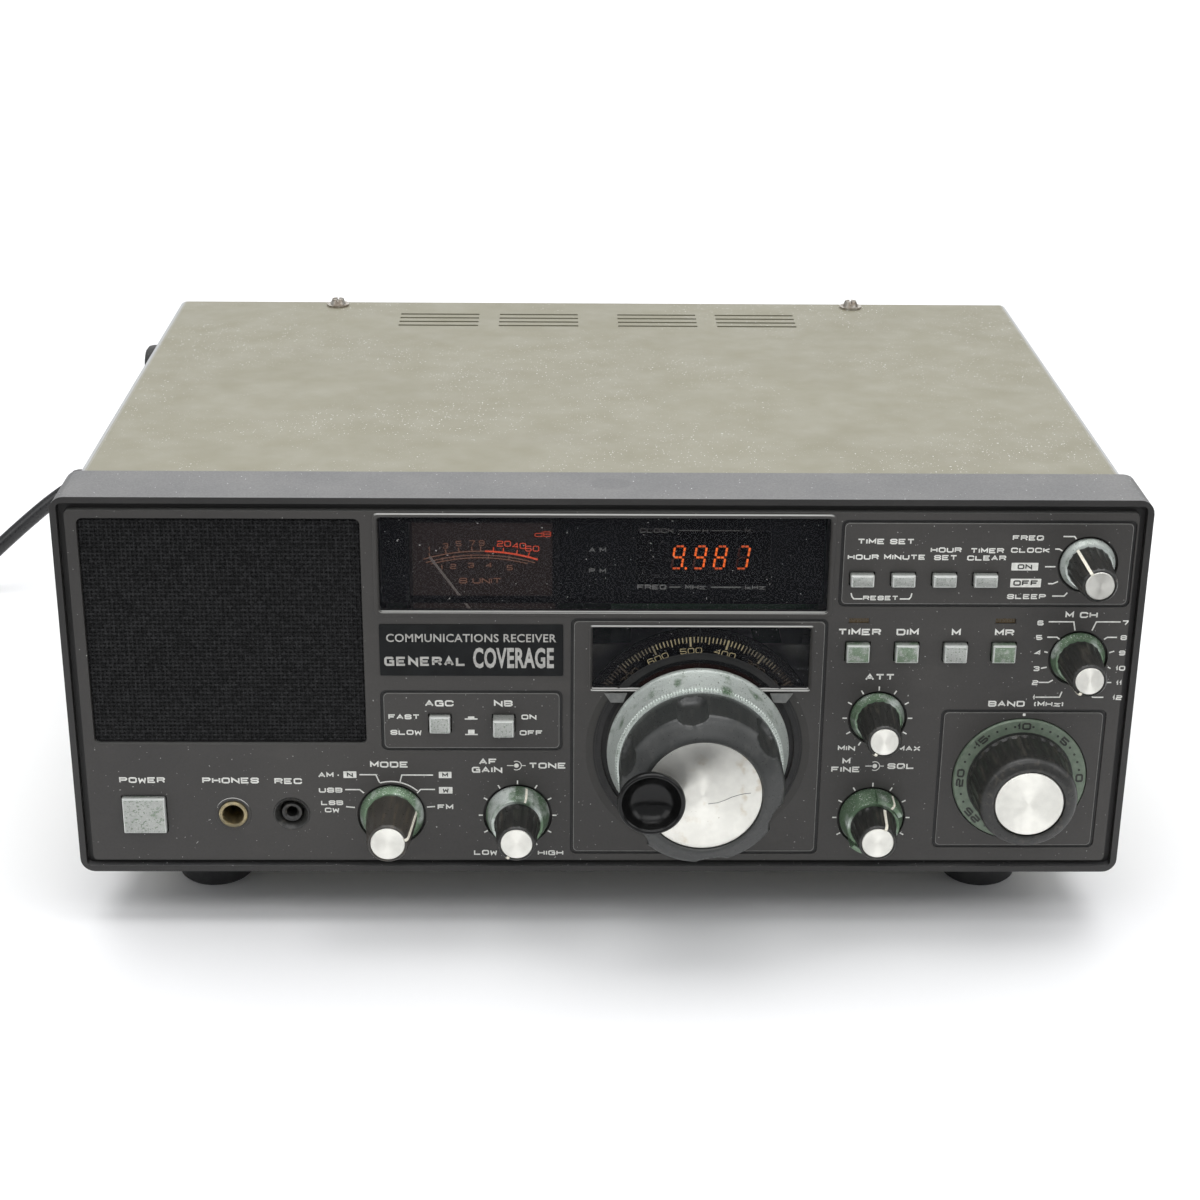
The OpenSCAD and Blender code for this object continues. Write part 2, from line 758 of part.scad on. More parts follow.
module record_jack() {
  color(black) facing(record_at[0], record_at[1], 0) difference() {
    union() {
      translate([0, 0, -8]) cylinder(r = 3.3, h = 7);
      translate([0, 0, -22]) cylinder(r = 5, h = 14);
    }
    translate([0, 0, -19]) cylinder(r = record_bore_r, h = 30);
  }
}

module antenna_socket() {
  socket_r = 7.9;
  color(silver) translate([antenna_at[0], rear_y, base_z + antenna_at[1]]) rotate([-90, 0, 0])
    difference() {
      union() {
        translate([-12.7, -12.7, 0]) cube([25.4, 25.4, 1.6]);
        cylinder(r = socket_r, h = 14);
        translate([0, 0, -14]) cylinder(r = 5, h = 14);
      }
      translate([0, 0, 3]) cylinder(r = 5.6, h = 12);
    }
  color("ivory") translate([antenna_at[0], rear_y + 3, base_z + antenna_at[1]]) rotate([-90, 0, 0])
    difference() {
      cylinder(r = 5.6, h = 3);
      translate([0, 0, 0.6]) cylinder(r = 2, h = 4);
    }
}

module rear_terminals() {
  color(black) difference() {
    translate([terminal_at[0] - 22, rear_y, base_z + terminal_at[1] - 10]) cube([44, 9, 20]);
    for (x = [-11, 11])
      translate([terminal_at[0] + x, rear_y + 3, base_z + terminal_at[1] - 4]) rotate([-90, 0, 0])
        cylinder(r = 1.5, h = 10);
  }
  color(brass) translate([ground_at[0], rear_y, base_z + ground_at[1]]) rotate([-90, 0, 0]) union() {
    translate([0, 0, -6]) cylinder(r = 2, h = 18);
    cylinder(r = 5, h = 1);
    translate([0, 0, 3]) cylinder(r = 4.2, h = 5);
  }
}

// ---- Mains cord ----

module cord_grommet() {
  color(black) translate([cord_exit[0], rear_y, base_z + cord_exit[1]]) rotate([-90, 0, 0])
    rotate_extrude() polygon([
      [0, -6], [6.6, -6], [6.6, -1.6], [4.9, -1.6], [4.9, 0], [7.5, 0], [7.5, 2.4],
      [5.6, 4], [4, grommet_len], [0, grommet_len]
    ]);
}

function unit(v) = v / norm(v);
function heading(p, i) = unit(p[min(i + 1, len(p) - 1)] - p[max(i - 1, 0)]);
// One ring of points round the path at point i
function ring(p, i) =
  let (t = heading(p, i), s = unit(cross(t, [0, 0, 1])), u = cross(s, t))
  [for (k = [0:cord_sides - 1])
    p[i] + cord_dia / 2 * (cos(360 * k / cord_sides) * s + sin(360 * k / cord_sides) * u)];

// A tube swept along a list of points
module sweep(p) {
  n = len(p);
  m = cord_sides;
  points = [for (i = [0:n - 1]) each ring(p, i)];
  walls = [for (i = [0:n - 2], k = [0:m - 1])
    [i * m + k, i * m + (k + 1) % m, (i + 1) * m + (k + 1) % m, (i + 1) * m + k]];
  start_cap = [[for (k = [m - 1:-1:0]) k]];
  end_cap = [[for (k = [0:m - 1]) (n - 1) * m + k]];
  polyhedron(points = points, faces = concat(start_cap, walls, end_cap), convexity = 4);
}

module power_cord() {
  color(black) {
    sweep(cord_path);
    sweep(tail_path);
  }
}

module cord_coil() {
  half = cord_dia * coil_tracks / 2;
  color(black) translate([coil_at[0], coil_at[1], 0]) rotate_extrude()
    translate([coil_r - half, 0]) square([2 * half, cord_dia * coil_layers + 0.3]);
}

module mains_plug() {
  color(black) translate(plug_at) rotate([0, 0, plug_turn]) {
    rotate([0, 90, 0]) cylinder(r1 = 4, r2 = 5.4, h = 14);
    translate([13, 0, -plug_t / 2]) linear_extrude(plug_t) polygon([
      [0, -7], [8, -9.5], [14, -12], [19, -12], [19, 12], [14, 12], [8, 9.5], [0, 7]
    ]);
  }
  color(silver) translate(plug_at) rotate([0, 0, plug_turn])
    for (side = [-1, 1]) translate([31, side * pin_pitch / 2 - 0.75, -3.15]) cube([18, 1.5, 6.3]);
}

front_bezel();
front_panel();
control_plate();
top_cover();
bottom_cover();
chassis();
rear_panel();
circuit_boards();
shield_box();
power_transformer();
feet();
side_feet();
cover_screws();
speaker_grille();
speaker_frame();
speaker_cone();
display_window();
meter_case();
meter_scale();
meter_needle();
display_tube();
dial_window();
dial_disc();
tuning_gearbox();
tuning_shaft();
tuning_knob();
tuning_skirt();
finger_knob();
power_button();
agc_button();
blanker_button();
hour_button();
minute_button();
set_button();
clear_button();
timer_button();
dim_button();
memory_button();
recall_button();
function_knob();
channel_knob();
attenuator_knob();
mode_knob();
gain_knob();
tone_ring();
fine_knob();
squelch_ring();
band_knob();
band_dial();
switch_bodies();
control_bodies();
indicator_lenses();
phones_jack();
record_jack();
antenna_socket();
rear_terminals();
cord_grommet();
power_cord();
cord_coil();
mains_plug();
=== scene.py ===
"""Looks of a tabletop communications receiver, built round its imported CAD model."""

import json
import math

import bmesh
import bpy
from mathutils import Matrix, Vector


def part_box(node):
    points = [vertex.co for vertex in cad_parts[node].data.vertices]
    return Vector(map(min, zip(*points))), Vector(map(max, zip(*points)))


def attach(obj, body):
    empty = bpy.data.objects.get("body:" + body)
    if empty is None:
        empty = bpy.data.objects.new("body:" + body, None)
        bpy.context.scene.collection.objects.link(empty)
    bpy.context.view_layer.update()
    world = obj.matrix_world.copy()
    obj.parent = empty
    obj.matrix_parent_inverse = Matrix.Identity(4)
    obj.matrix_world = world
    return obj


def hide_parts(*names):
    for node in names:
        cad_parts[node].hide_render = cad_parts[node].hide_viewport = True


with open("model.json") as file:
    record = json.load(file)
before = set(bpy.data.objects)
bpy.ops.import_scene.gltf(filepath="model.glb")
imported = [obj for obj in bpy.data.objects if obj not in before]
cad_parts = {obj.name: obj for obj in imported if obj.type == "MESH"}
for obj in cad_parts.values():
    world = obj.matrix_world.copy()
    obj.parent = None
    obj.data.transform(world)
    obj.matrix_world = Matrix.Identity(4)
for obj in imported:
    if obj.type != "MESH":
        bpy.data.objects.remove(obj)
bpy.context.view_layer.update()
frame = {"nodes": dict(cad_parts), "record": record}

MM = 0.001
TAU = 2 * math.pi

BEZEL_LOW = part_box("front_bezel")[0]
FACE_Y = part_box("front_panel")[0].y
REAR_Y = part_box("rear_panel")[1].y
BASE_Z = BEZEL_LOW.z


# ---- Places -------------------------------------------------------------------------------------

def local_frame(origin, right, up, out):
    """Turns millimetres right, up and out of a face into metres in the row frame."""
    rows = Matrix((right, up, out)).transposed().to_4x4()
    return Matrix.Translation(origin) @ rows @ Matrix.Scale(MM, 4)


def on_panel(x=0.0, z=0.0):
    """The frame of a spot on the front panel, in millimetres from its middle and from the bezel's bottom."""
    origin = (x * MM, FACE_Y, BASE_Z + z * MM)
    return local_frame(origin, (1, 0, 0), (0, 0, 1), (0, -1, 0))


def on_rear(x, z):
    """The frame of a spot on the rear panel, in millimetres; right is to the right as seen from behind."""
    origin = (x * MM, REAR_Y, BASE_Z + z * MM)
    return local_frame(origin, (-1, 0, 0), (0, 0, 1), (0, 1, 0))


def spot_of(node):
    """A node's middle on the front panel, in millimetres: (x, z)."""
    low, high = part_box(node)
    return (low.x + high.x) / 2 / MM, ((low.z + high.z) / 2 - BASE_Z) / MM


def size_of(node):
    """A node's width and height seen from the front, in millimetres."""
    low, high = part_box(node)
    return (high.x - low.x) / MM, (high.z - low.z) / MM


def stands_out(node):
    """How far a node stands out of the front panel's face, in millimetres."""
    return (FACE_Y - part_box(node)[0].y) / MM


# ---- Camera, light and floor --------------------------------------------------------------------

SENSOR = 36.0
LENS = 67.31
CAMERA_AT = (-0.012641, -0.737696, 0.379081)
CAMERA_YAW, CAMERA_PITCH, CAMERA_ROLL = 1.0523, 22.5573, -0.5516


def make_camera():
    data = bpy.data.cameras.new("camera")
    data.sensor_width = SENSOR
    data.lens = LENS
    camera = bpy.data.objects.new("camera", data)
    bpy.context.scene.collection.objects.link(camera)
    turn = Matrix.Rotation(math.radians(-CAMERA_YAW), 4, "Z")
    tilt = Matrix.Rotation(math.radians(90 - CAMERA_PITCH), 4, "X")
    roll = Matrix.Rotation(math.radians(-CAMERA_ROLL), 4, "Z")
    camera.matrix_world = Matrix.Translation(CAMERA_AT) @ turn @ tilt @ roll
    bpy.context.scene.camera = camera


def softbox(name, at, aim, width, height, watts, tint=(1, 1, 1)):
    data = bpy.data.lights.new(name, "AREA")
    data.shape = "RECTANGLE"
    data.size, data.size_y = width, height
    data.energy = watts
    data.color = tint
    light = bpy.data.objects.new(name, data)
    light.location = at
    light.rotation_euler = (Vector(aim) - Vector(at)).to_track_quat("-Z", "Y").to_euler()
    bpy.context.scene.collection.objects.link(light)


def make_studio():
    scene = bpy.context.scene
    scene.view_settings.view_transform = "Standard"
    world = bpy.data.worlds.new("studio")
    world.use_nodes = True
    world.node_tree.nodes["Background"].inputs["Color"].default_value = (0.95, 0.97, 1.0, 1)
    world.node_tree.nodes["Background"].inputs["Strength"].default_value = 0.50
    scene.world = world
    softbox("overhead", (0, -0.02, 1.3), (0, -0.02, 0), 1.5, 0.9, 13)
    softbox("front_floor", (0, -0.8, 0.95), (0, -0.6, 0), 1.3, 0.4, 3.6)
    softbox("backdrop", (0, 2.8, 1.8), (0, 2.6, 0), 4.0, 1.4, 60)
    softbox("left_fill", (-1.4, -0.8, 0.9), (0, 0, 0.1), 0.9, 0.9, 3.5)
    softbox("right_fill", (1.4, -0.6, 0.9), (0, 0, 0.1), 0.9, 0.9, 4.5)


# ---- Material nodes -----------------------------------------------------------------------------

class Finish:
    """A material on the Principled shader, with short calls for the nodes used here."""

    def __init__(self, name, **sockets):
        self.material = bpy.data.materials.new(name)
        self.material.use_nodes = True
        self.tree = self.material.node_tree
        self.shader = self.tree.nodes["Principled BSDF"]
        for key, value in sockets.items():
            self.shader.inputs[key.replace("_", " ")].default_value = value
        self.place = self.add("ShaderNodeTexCoord").outputs["Object"]

    def add(self, kind, **settings):
        node = self.tree.nodes.new(kind)
        for key, value in settings.items():
            setattr(node, key, value)
        return node

    def wire(self, value, socket):
        if isinstance(value, bpy.types.NodeSocket):
            self.tree.links.new(value, socket)
        elif isinstance(value, tuple) and len(value) == 3:
            socket.default_value = (*value, 1)
        else:
            socket.default_value = value

    def noise(self, size, detail=3, stretch=(1, 1, 1)):
        """Cloudy noise whose lumps are about size millimetres across."""
        place = self.add("ShaderNodeMapping")
        place.inputs["Scale"].default_value = stretch
        self.wire(self.place, place.inputs["Vector"])
        node = self.add("ShaderNodeTexNoise")
        node.inputs["Scale"].default_value = 1 / (size * MM)
        node.inputs["Detail"].default_value = detail
        self.wire(place.outputs["Vector"], node.inputs["Vector"])
        return node.outputs["Fac"]

    def rise(self, value, low, high):
        """0 below low, 1 above high, and smooth in between."""
        node = self.add("ShaderNodeMapRange", interpolation_type="SMOOTHSTEP")
        self.wire(value, node.inputs["Value"])
        node.inputs["From Min"].default_value = low
        node.inputs["From Max"].default_value = high
        return node.outputs["Result"]

    def span(self, value, low, high):
        """Noise spread over a range, such as a roughness."""
        node = self.add("ShaderNodeMapRange")
        self.wire(value, node.inputs["Value"])
        node.inputs["From Min"].default_value = 0.3
        node.inputs["From Max"].default_value = 0.7
        node.inputs["To Min"].default_value = low
        node.inputs["To Max"].default_value = high
        return node.outputs["Result"]

    def math(self, operation, a, b=0.0):
        node = self.add("ShaderNodeMath", operation=operation)
        self.wire(a, node.inputs[0])
        self.wire(b, node.inputs[1])
        return node.outputs["Value"]

    def mix(self, share, a, b):
        node = self.add("ShaderNodeMix", data_type="RGBA")
        self.wire(share, node.inputs[0])
        self.wire(a, node.inputs[6])
        self.wire(b, node.inputs[7])
        return node.outputs[2]

    def axes(self, what):
        node = self.add("ShaderNodeSeparateXYZ")
        self.wire(what, node.inputs["Vector"])
        return node.outputs["X"], node.outputs["Y"], node.outputs["Z"]

    def facing(self):
        return self.axes(self.add("ShaderNodeNewGeometry").outputs["Normal"])

    def colour(self, value):
        self.wire(value, self.shader.inputs["Base Color"])

    def rough(self, value):
        self.wire(value, self.shader.inputs["Roughness"])

    def bump(self, height, depth):
        """Bumps about depth millimetres high."""
        node = self.add("ShaderNodeBump")
        node.inputs["Distance"].default_value = depth * MM
        node.inputs["Strength"].default_value = 0.6
        self.wire(height, node.inputs["Height"])
        self.wire(node.outputs["Normal"], self.shader.inputs["Normal"])

    def worn_edge(self):
        """1 along the small slopes between a face turned up and one turned to the front, where a painted
        highlight goes.
        """
        _, y, z = self.facing()
        slope = self.math("MULTIPLY", self.rise(z, 0.3, 0.55), self.rise(z, 0.97, 0.9))
        return self.math("MULTIPLY", slope, self.rise(y, -0.25, -0.45))

    def dust(self, colour, amount=0.3, pale=(0.62, 0.61, 0.58)):
        """Pale specks and a thin film on whatever faces up."""
        up = self.rise(self.facing()[2], 0.35, 0.9)
        film = self.math("MULTIPLY", up, self.span(self.noise(9, 5), 0.2 * amount, amount))
        cluster = self.rise(self.noise(45, 3), 0.40, 0.62)
        specks = self.math("MULTIPLY", cluster, self.rise(self.noise(0.65, 1), 0.725, 0.74))
        colour = self.mix(film, colour, pale)
        return self.mix(self.math("MULTIPLY", up, specks), colour, (0.9, 0.9, 0.88))


def grained(name, base, other, rough, metallic=0.0, size=6.0, grain=0.5, depth=0.02, dust=0.0, **sockets):
    """A finish whose colour drifts between two tones, with fine grain in its gloss and relief."""
    f = Finish(name, Metallic=metallic, **sockets)
    tone = f.mix(f.rise(f.noise(size, 5), 0.35, 0.65), base, other)
    f.colour(f.dust(tone, dust) if dust else tone)
    fine = f.noise(grain, 3)
    f.rough(f.span(fine, rough - 0.07, rough + 0.07))
    f.bump(fine, depth)
    return f.material


def cover_paint():
    f = Finish("cover_paint")
    tone = f.mix(f.rise(f.noise(60, 5), 0.3, 0.7), (0.194, 0.183, 0.128), (0.204, 0.193, 0.136))
    stain = f.rise(f.noise(70, 7, (1, 2.2, 1)), 0.56, 0.75)
    tone = f.mix(f.math("MULTIPLY", stain, 0.16), tone, (0.155, 0.138, 0.098))
    # Painted reflection: the rounded long edges, which tilt to the side, are made lighter and bluish.
    side_x = f.math("ABSOLUTE", f.facing()[0])
    edge = f.math("MULTIPLY", f.rise(side_x, 0.05, 0.3), f.rise(side_x, 0.98, 0.8))
    tone = f.mix(f.math("MULTIPLY", edge, 0.8), tone, (0.44, 0.45, 0.47))
    tone = f.mix(f.rise(f.noise(0.5, 2), 0.66, 0.72), tone, (0.22, 0.205, 0.16))
    f.colour(f.dust(tone, 0.08, (0.38, 0.36, 0.30)))
    f.rough(f.span(f.noise(14, 4), 0.42, 0.62))
    f.bump(f.noise(0.45, 3), 0.03)
    return f.material


def bezel_paint():
    f = Finish("bezel_paint")
    tone = f.mix(f.rise(f.noise(30, 5), 0.3, 0.7), (0.020, 0.019, 0.0183), (0.027, 0.0255, 0.0243))
    x, y, _ = f.axes(f.place)
    # Painted sheen: faces turned up get a lighter, cloudy grey (the film below) in place of the light they
    # catch.
    up = f.rise(f.facing()[2], 0.3, 0.95)
    film = f.mix(f.rise(f.noise(25, 6), 0.35, 0.7), (0.098, 0.098, 0.099), (0.122, 0.121, 0.119))
    across = f.math("DIVIDE", f.math("SUBTRACT", x, 0.002), 0.0065)
    along = f.math("DIVIDE", f.math("SUBTRACT", y, BEZEL_LOW.y + 0.0135), 0.0050)
    reach = f.math("ADD", f.math("POWER", across, 2), f.math("POWER", along, 2))
    thumb = f.math("SUBTRACT", 1, f.rise(reach, 0.75, 1.25))
    film = f.mix(f.math("MULTIPLY", thumb, 0.45), film, (0.070, 0.070, 0.073))
    tone = f.mix(up, tone, film)
    # Painted highlight: a near-white line along the slopes between the top and the front.
    tone = f.mix(f.worn_edge(), tone, (0.80, 0.80, 0.79))
    specks = f.math("MULTIPLY", up, f.rise(f.noise(0.8, 2), 0.735, 0.75))
    f.colour(f.mix(specks, tone, (0.9, 0.9, 0.9)))
    f.rough(f.span(f.noise(0.6, 3), 0.38, 0.55))
    f.bump(f.noise(0.5, 3), 0.02)
    return f.material


def panel_plastic():
    f = Finish("panel_plastic")
    tone = f.mix(f.rise(f.noise(60, 5), 0.3, 0.7), (0.034, 0.0318, 0.0298), (0.043, 0.0402, 0.0370))
    smear = f.rise(f.noise(18, 7, (1, 1, 2)), 0.55, 0.8)
    tone = f.mix(f.math("MULTIPLY", smear, 0.25), tone, (0.070, 0.065, 0.058))
    # Painted highlight: faces turned up, such as groove walls and slopes, are made lighter.
    tone = f.mix(f.rise(f.facing()[2], 0.2, 0.8), tone, (0.10, 0.10, 0.095))
    # Painted highlight: a pale line along the slopes between faces turned up and to the front.
    tone = f.mix(f.worn_edge(), tone, (0.42, 0.42, 0.40))
    tone = f.mix(f.rise(f.noise(0.8, 1), 0.775, 0.79), tone, (0.35, 0.35, 0.33))
    f.colour(tone)
    f.rough(f.span(f.noise(0.7, 3), 0.44, 0.60))
    f.bump(f.noise(0.35, 3), 0.02)
    return f.material


def patina_metal(name, green, metallic=0.55):
    """Turned metal gone green: clouds of patina, and bright grains left between, made brighter on faces
    turned up as a painted highlight.
    """
    f = Finish(name, Metallic=metallic)
    clouds = f.rise(f.noise(7, 5), 0.68 - 0.42 * green, 0.86 - 0.34 * green)
    worn = f.mix(clouds, (0.66, 0.71, 0.67), (0.140, 0.215, 0.135))
    grains = f.rise(f.noise(0.38, 2), 0.60, 0.70)
    # Painted highlight: the bright grains grow brighter the more a face is turned up.
    up = f.rise(f.facing()[2], 0.0, 0.8)
    bright = f.math("MULTIPLY", grains, f.math("ADD", 0.15, f.math("MULTIPLY", up, 0.75)))
    tone = f.mix(bright, worn, (0.90, 0.93, 0.88))
    pits = f.rise(f.noise(0.6, 3, (1, 1, 1.3)), 0.30, 0.36)
    tone = f.mix(pits, (0.09, 0.12, 0.08), tone)
    f.colour(tone)
    f.rough(f.span(f.noise(0.9, 4), 0.30, 0.55))
    f.bump(f.noise(0.4, 3), 0.06)
    return f.material


def pitted_plate(name, green):
    """Silver plating on a button, with fine pits, a green bloom that spreads with green, and a painted
    highlight along the rim of its face.
    """
    f = Finish(name, Metallic=0.55)
    bloom = f.rise(f.noise(3.0, 5), 0.80 - 0.50 * green, 0.92 - 0.36 * green)
    tone = f.mix(bloom, (0.40, 0.41, 0.39), (0.175, 0.235, 0.165))
    glints = f.rise(f.noise(0.3, 1), 0.62, 0.70)
    tone = f.mix(f.math("MULTIPLY", glints, 0.5), tone, (0.70, 0.75, 0.69))
    eaten = f.rise(f.noise(0.55, 3), 0.43, 0.37)
    tone = f.mix(f.math("MULTIPLY", eaten, 0.7), tone, (0.13, 0.18, 0.12))
    # Painted highlight: the rounded rims between the face and the sides are made pale.
    _, y, _ = f.facing()
    edge = f.math("MULTIPLY", f.rise(y, -0.97, -0.85), f.rise(y, -0.15, -0.3))
    tone = f.mix(f.math("MULTIPLY", edge, 0.8), tone, (0.80, 0.82, 0.79))
    f.colour(tone)
    f.rough(f.span(f.noise(0.8, 3), 0.30, 0.5))
    f.bump(f.noise(0.35, 3), 0.05)
    return f.material


def spun_silver(name, stains=0.0):
    """A lathe-turned silver disc, brushed round the middle of its piece, with a few brown stains."""
    f = Finish(name, Metallic=1.0, Anisotropic=0.9)
    tone = f.mix(f.rise(f.noise(3, 4), 0.3, 0.7), (0.87, 0.86, 0.80), (0.80, 0.79, 0.735))
    if stains:
        brown = f.math("MULTIPLY", f.rise(f.noise(4.5, 7), 0.56, 0.78), stains)
        tone = f.mix(brown, tone, (0.52, 0.43, 0.29))
        tone = f.mix(f.rise(f.noise(1.1, 2), 0.76, 0.78), tone, (0.34, 0.29, 0.21))
    f.colour(tone)
    tangent = f.add("ShaderNodeTangent", direction_type="RADIAL", axis="Y")
    f.wire(tangent.outputs["Tangent"], f.shader.inputs["Tangent"])
    f.rough(f.span(f.noise(6, 2), 0.34, 0.38))
    f.bump(f.noise(5, 2), 0.004)
    return f.material


def lamp_ink(name, colour, strength):
    """Something that glows, unevenly."""
    f = Finish(name, Roughness=0.5, Emission_Strength=strength)
    glow = f.mix(f.rise(f.noise(0.8, 3), 0.35, 0.65), colour, tuple(0.72 * c for c in colour))
    f.colour(tuple(0.3 * c for c in colour))
    f.wire(glow, f.shader.inputs["Emission Color"])
    return f.material


def smoked_acrylic():
    """Dark clear plastic: it lets a little under half of the light straight through."""
    f = Finish("smoked_acrylic", Specular_IOR_Level=0.16, Alpha=0.45)
    motes = f.rise(f.noise(0.9, 1), 0.78, 0.795)
    f.colour(f.mix(motes, (0.009, 0.0095, 0.0115), (0.55, 0.55, 0.53)))
    f.rough(f.span(f.noise(12, 4), 0.26, 0.30))
    return f.material


def woven_black():
    f = Finish("woven_black", Sheen_Weight=0.04, Sheen_Roughness=0.4, Specular_IOR_Level=0.25)
    tone = f.mix(f.rise(f.noise(1.3, 3), 0.35, 0.7), (0.002, 0.002, 0.0025), (0.017, 0.017, 0.018))
    f.colour(tone)
    f.rough(f.span(f.noise(0.3, 3), 0.45, 0.75))
    f.bump(f.noise(0.12, 2), 0.05)
    return f.material


def ribbed_plastic(name, base, brown_sheen):
    """Black moulding with brown streaks that run along its ribs: a painted sheen."""
    f = Finish(name)
    # Painted sheen: brown streaks along the ribs.
    streak = f.rise(f.noise(1.6, 4, (1, 0.15, 1)), 0.50, 0.75)
    f.colour(f.mix(f.math("MULTIPLY", streak, 0.7), base, brown_sheen))
    f.rough(f.span(f.noise(0.6, 3), 0.26, 0.42))
    f.bump(f.noise(0.3, 3), 0.02)
    return f.material


# Grained finishes: the two tones, the roughness, and what differs from the defaults of grained().
GRAINED = {
    "plated_steel": ((0.56, 0.54, 0.48), (0.66, 0.65, 0.60), 0.38, {"metallic": 0.9}),
    "board": ((0.05, 0.15, 0.07), (0.07, 0.20, 0.09), 0.35, {"size": 3}),
    "shield_steel": ((0.62, 0.62, 0.60), (0.70, 0.70, 0.68), 0.3, {"metallic": 0.95}),
    "iron_core": ((0.07, 0.06, 0.05), (0.12, 0.11, 0.10), 0.5, {"metallic": 0.6, "size": 2}),
    "rubber": ((0.012, 0.012, 0.013), (0.022, 0.022, 0.022), 0.62, {"dust": 0.05}),
    "screw_steel": ((0.42, 0.40, 0.36), (0.26, 0.22, 0.18), 0.4, {"metallic": 0.85, "size": 2.5}),
    "speaker_steel": ((0.4, 0.4, 0.38), (0.5, 0.5, 0.47), 0.4, {"metallic": 0.9}),
    "speaker_paper": ((0.03, 0.028, 0.026), (0.05, 0.047, 0.042), 0.85, {"depth": 0.1}),
    "black_plastic": ((0.012, 0.012, 0.012), (0.022, 0.021, 0.02), 0.42, {}),
    "tube_glass": ((0.010, 0.009, 0.010), (0.016, 0.013, 0.013), 0.2, {}),
    "dial_film": ((0.020, 0.019, 0.017), (0.028, 0.026, 0.023), 0.5, {"grain": 4, "depth": 0.005}),
    "gear_alloy": ((0.55, 0.55, 0.53), (0.64, 0.64, 0.62), 0.45, {"metallic": 0.9}),
    "shaft_steel": ((0.6, 0.6, 0.6), (0.7, 0.7, 0.7), 0.25, {"metallic": 1.0}),
    "gloss_black": (
        (0.004, 0.004, 0.004), (0.007, 0.007, 0.007), 0.2, {"grain": 2, "Specular_IOR_Level": 0.28},
    ),
    "lens_amber": ((0.055, 0.036, 0.012), (0.08, 0.05, 0.018), 0.3, {}),
    "brass": ((0.42, 0.35, 0.20), (0.30, 0.26, 0.17), 0.35, {"metallic": 0.9, "size": 1.5}),
    "socket_silver": ((0.6, 0.59, 0.55), (0.5, 0.48, 0.43), 0.3, {"metallic": 0.95}),
    "dial_green": ((0.125, 0.165, 0.120), (0.165, 0.205, 0.155), 0.45, {"metallic": 0.2, "size": 2.5}),
    "cord_rubber": ((0.013, 0.013, 0.014), (0.020, 0.020, 0.021), 0.30, {"grain": 1.5}),
    "ink": ((0.74, 0.74, 0.70), (0.62, 0.62, 0.58), 0.6, {"size": 1.2}),
    "dim_ink": ((0.20, 0.20, 0.19), (0.14, 0.14, 0.135), 0.6, {"size": 1.2}),
    "dark_ink": ((0.02, 0.022, 0.02), (0.035, 0.035, 0.03), 0.6, {"size": 1.0}),
    "mask_black": ((0.0035, 0.0035, 0.0045), (0.005, 0.005, 0.006), 0.5, {"size": 8}),
    "well_shade": ((0.010, 0.010, 0.010), (0.016, 0.015, 0.015), 0.6, {}),
    "pale_line": ((0.85, 0.82, 0.72), (0.76, 0.72, 0.60), 0.45, {"size": 1.0}),
    "notch_edge": ((0.20, 0.20, 0.19), (0.15, 0.15, 0.14), 0.5, {"size": 1.5}),
    "notch_grey": ((0.13, 0.135, 0.13), (0.17, 0.17, 0.165), 0.5, {"size": 1.5}),
    "groove_black": ((0.009, 0.009, 0.009), (0.014, 0.013, 0.013), 0.55, {"size": 4}),
    "plate_black": ((0.005, 0.0055, 0.006), (0.008, 0.009, 0.0095), 0.5, {"Specular_IOR_Level": 0.2}),
    "plate_silver": ((0.46, 0.455, 0.43), (0.36, 0.35, 0.33), 0.4, {"metallic": 0.3, "size": 1.0}),
}
# Glowing finishes: the colour and the strength.
GLOWING = {
    "meter_paint": ((0.070, 0.050, 0.045), 0.75),
    "needle_alloy": ((0.42, 0.36, 0.33), 0.75),
    # The window printing is no lamp: its glow is painted light, standing in for light reaching it through
    # the window.
    "window_ink": ((0.42, 0.42, 0.41), 1.1),
    "window_dim": ((0.20, 0.19, 0.18), 1.1),
    "digit_glow": ((1.0, 0.17, 0.025), 3.0),
    "digit_weak": ((0.75, 0.12, 0.03), 2.4),
    "digit_dim": ((0.16, 0.028, 0.014), 0.5),
    "scale_brown": ((0.50, 0.25, 0.17), 1.15),
    "scale_red": ((1.0, 0.13, 0.06), 1.7),
    "dial_yellow": ((0.82, 0.70, 0.42), 1.1),
    "dial_fading": ((0.42, 0.36, 0.25), 1.0),
    "dial_dim": ((0.20, 0.16, 0.12), 0.9),
    "dial_brown": ((0.060, 0.028, 0.022), 0.5),
}


def make_materials():
    made = {
        "bezel_paint": bezel_paint(), "panel_plastic": panel_plastic(), "cover_paint": cover_paint(),
        "grille_cloth": woven_black(), "window_acrylic": smoked_acrylic(),
    }
    for name, (*look, more) in GRAINED.items():
        made[name] = grained(name, *look, **more)
    for name, look in GLOWING.items():
        made[name] = lamp_ink(name, *look)
    for name, make, *look in (
        ("skirt_alloy", patina_metal, 1.0), ("bright_patina", patina_metal, 0.30, 0.65),
        ("green_patina", patina_metal, 1.15), ("ring_metal", patina_metal, 0.70),
        ("button_plate", pitted_plate, 0.35), ("power_plate", pitted_plate, 0.45),
        ("green_plate", pitted_plate, 1.0), ("clean_plate", pitted_plate, -0.2),
        ("cap_silver", spun_silver), ("disc_silver", spun_silver, 0.55),
        ("knob_plastic", ribbed_plastic, (0.020, 0.020, 0.0185), (0.070, 0.063, 0.052)),
        ("knob_brown", ribbed_plastic, (0.040, 0.036, 0.031), (0.085, 0.070, 0.050)),
        ("knob_grey", ribbed_plastic, (0.026, 0.0275, 0.0265), (0.046, 0.046, 0.042)),
    ):
        made[name] = make(name, *look)
    return made


# ---- Shapes -------------------------------------------------------------------------------------

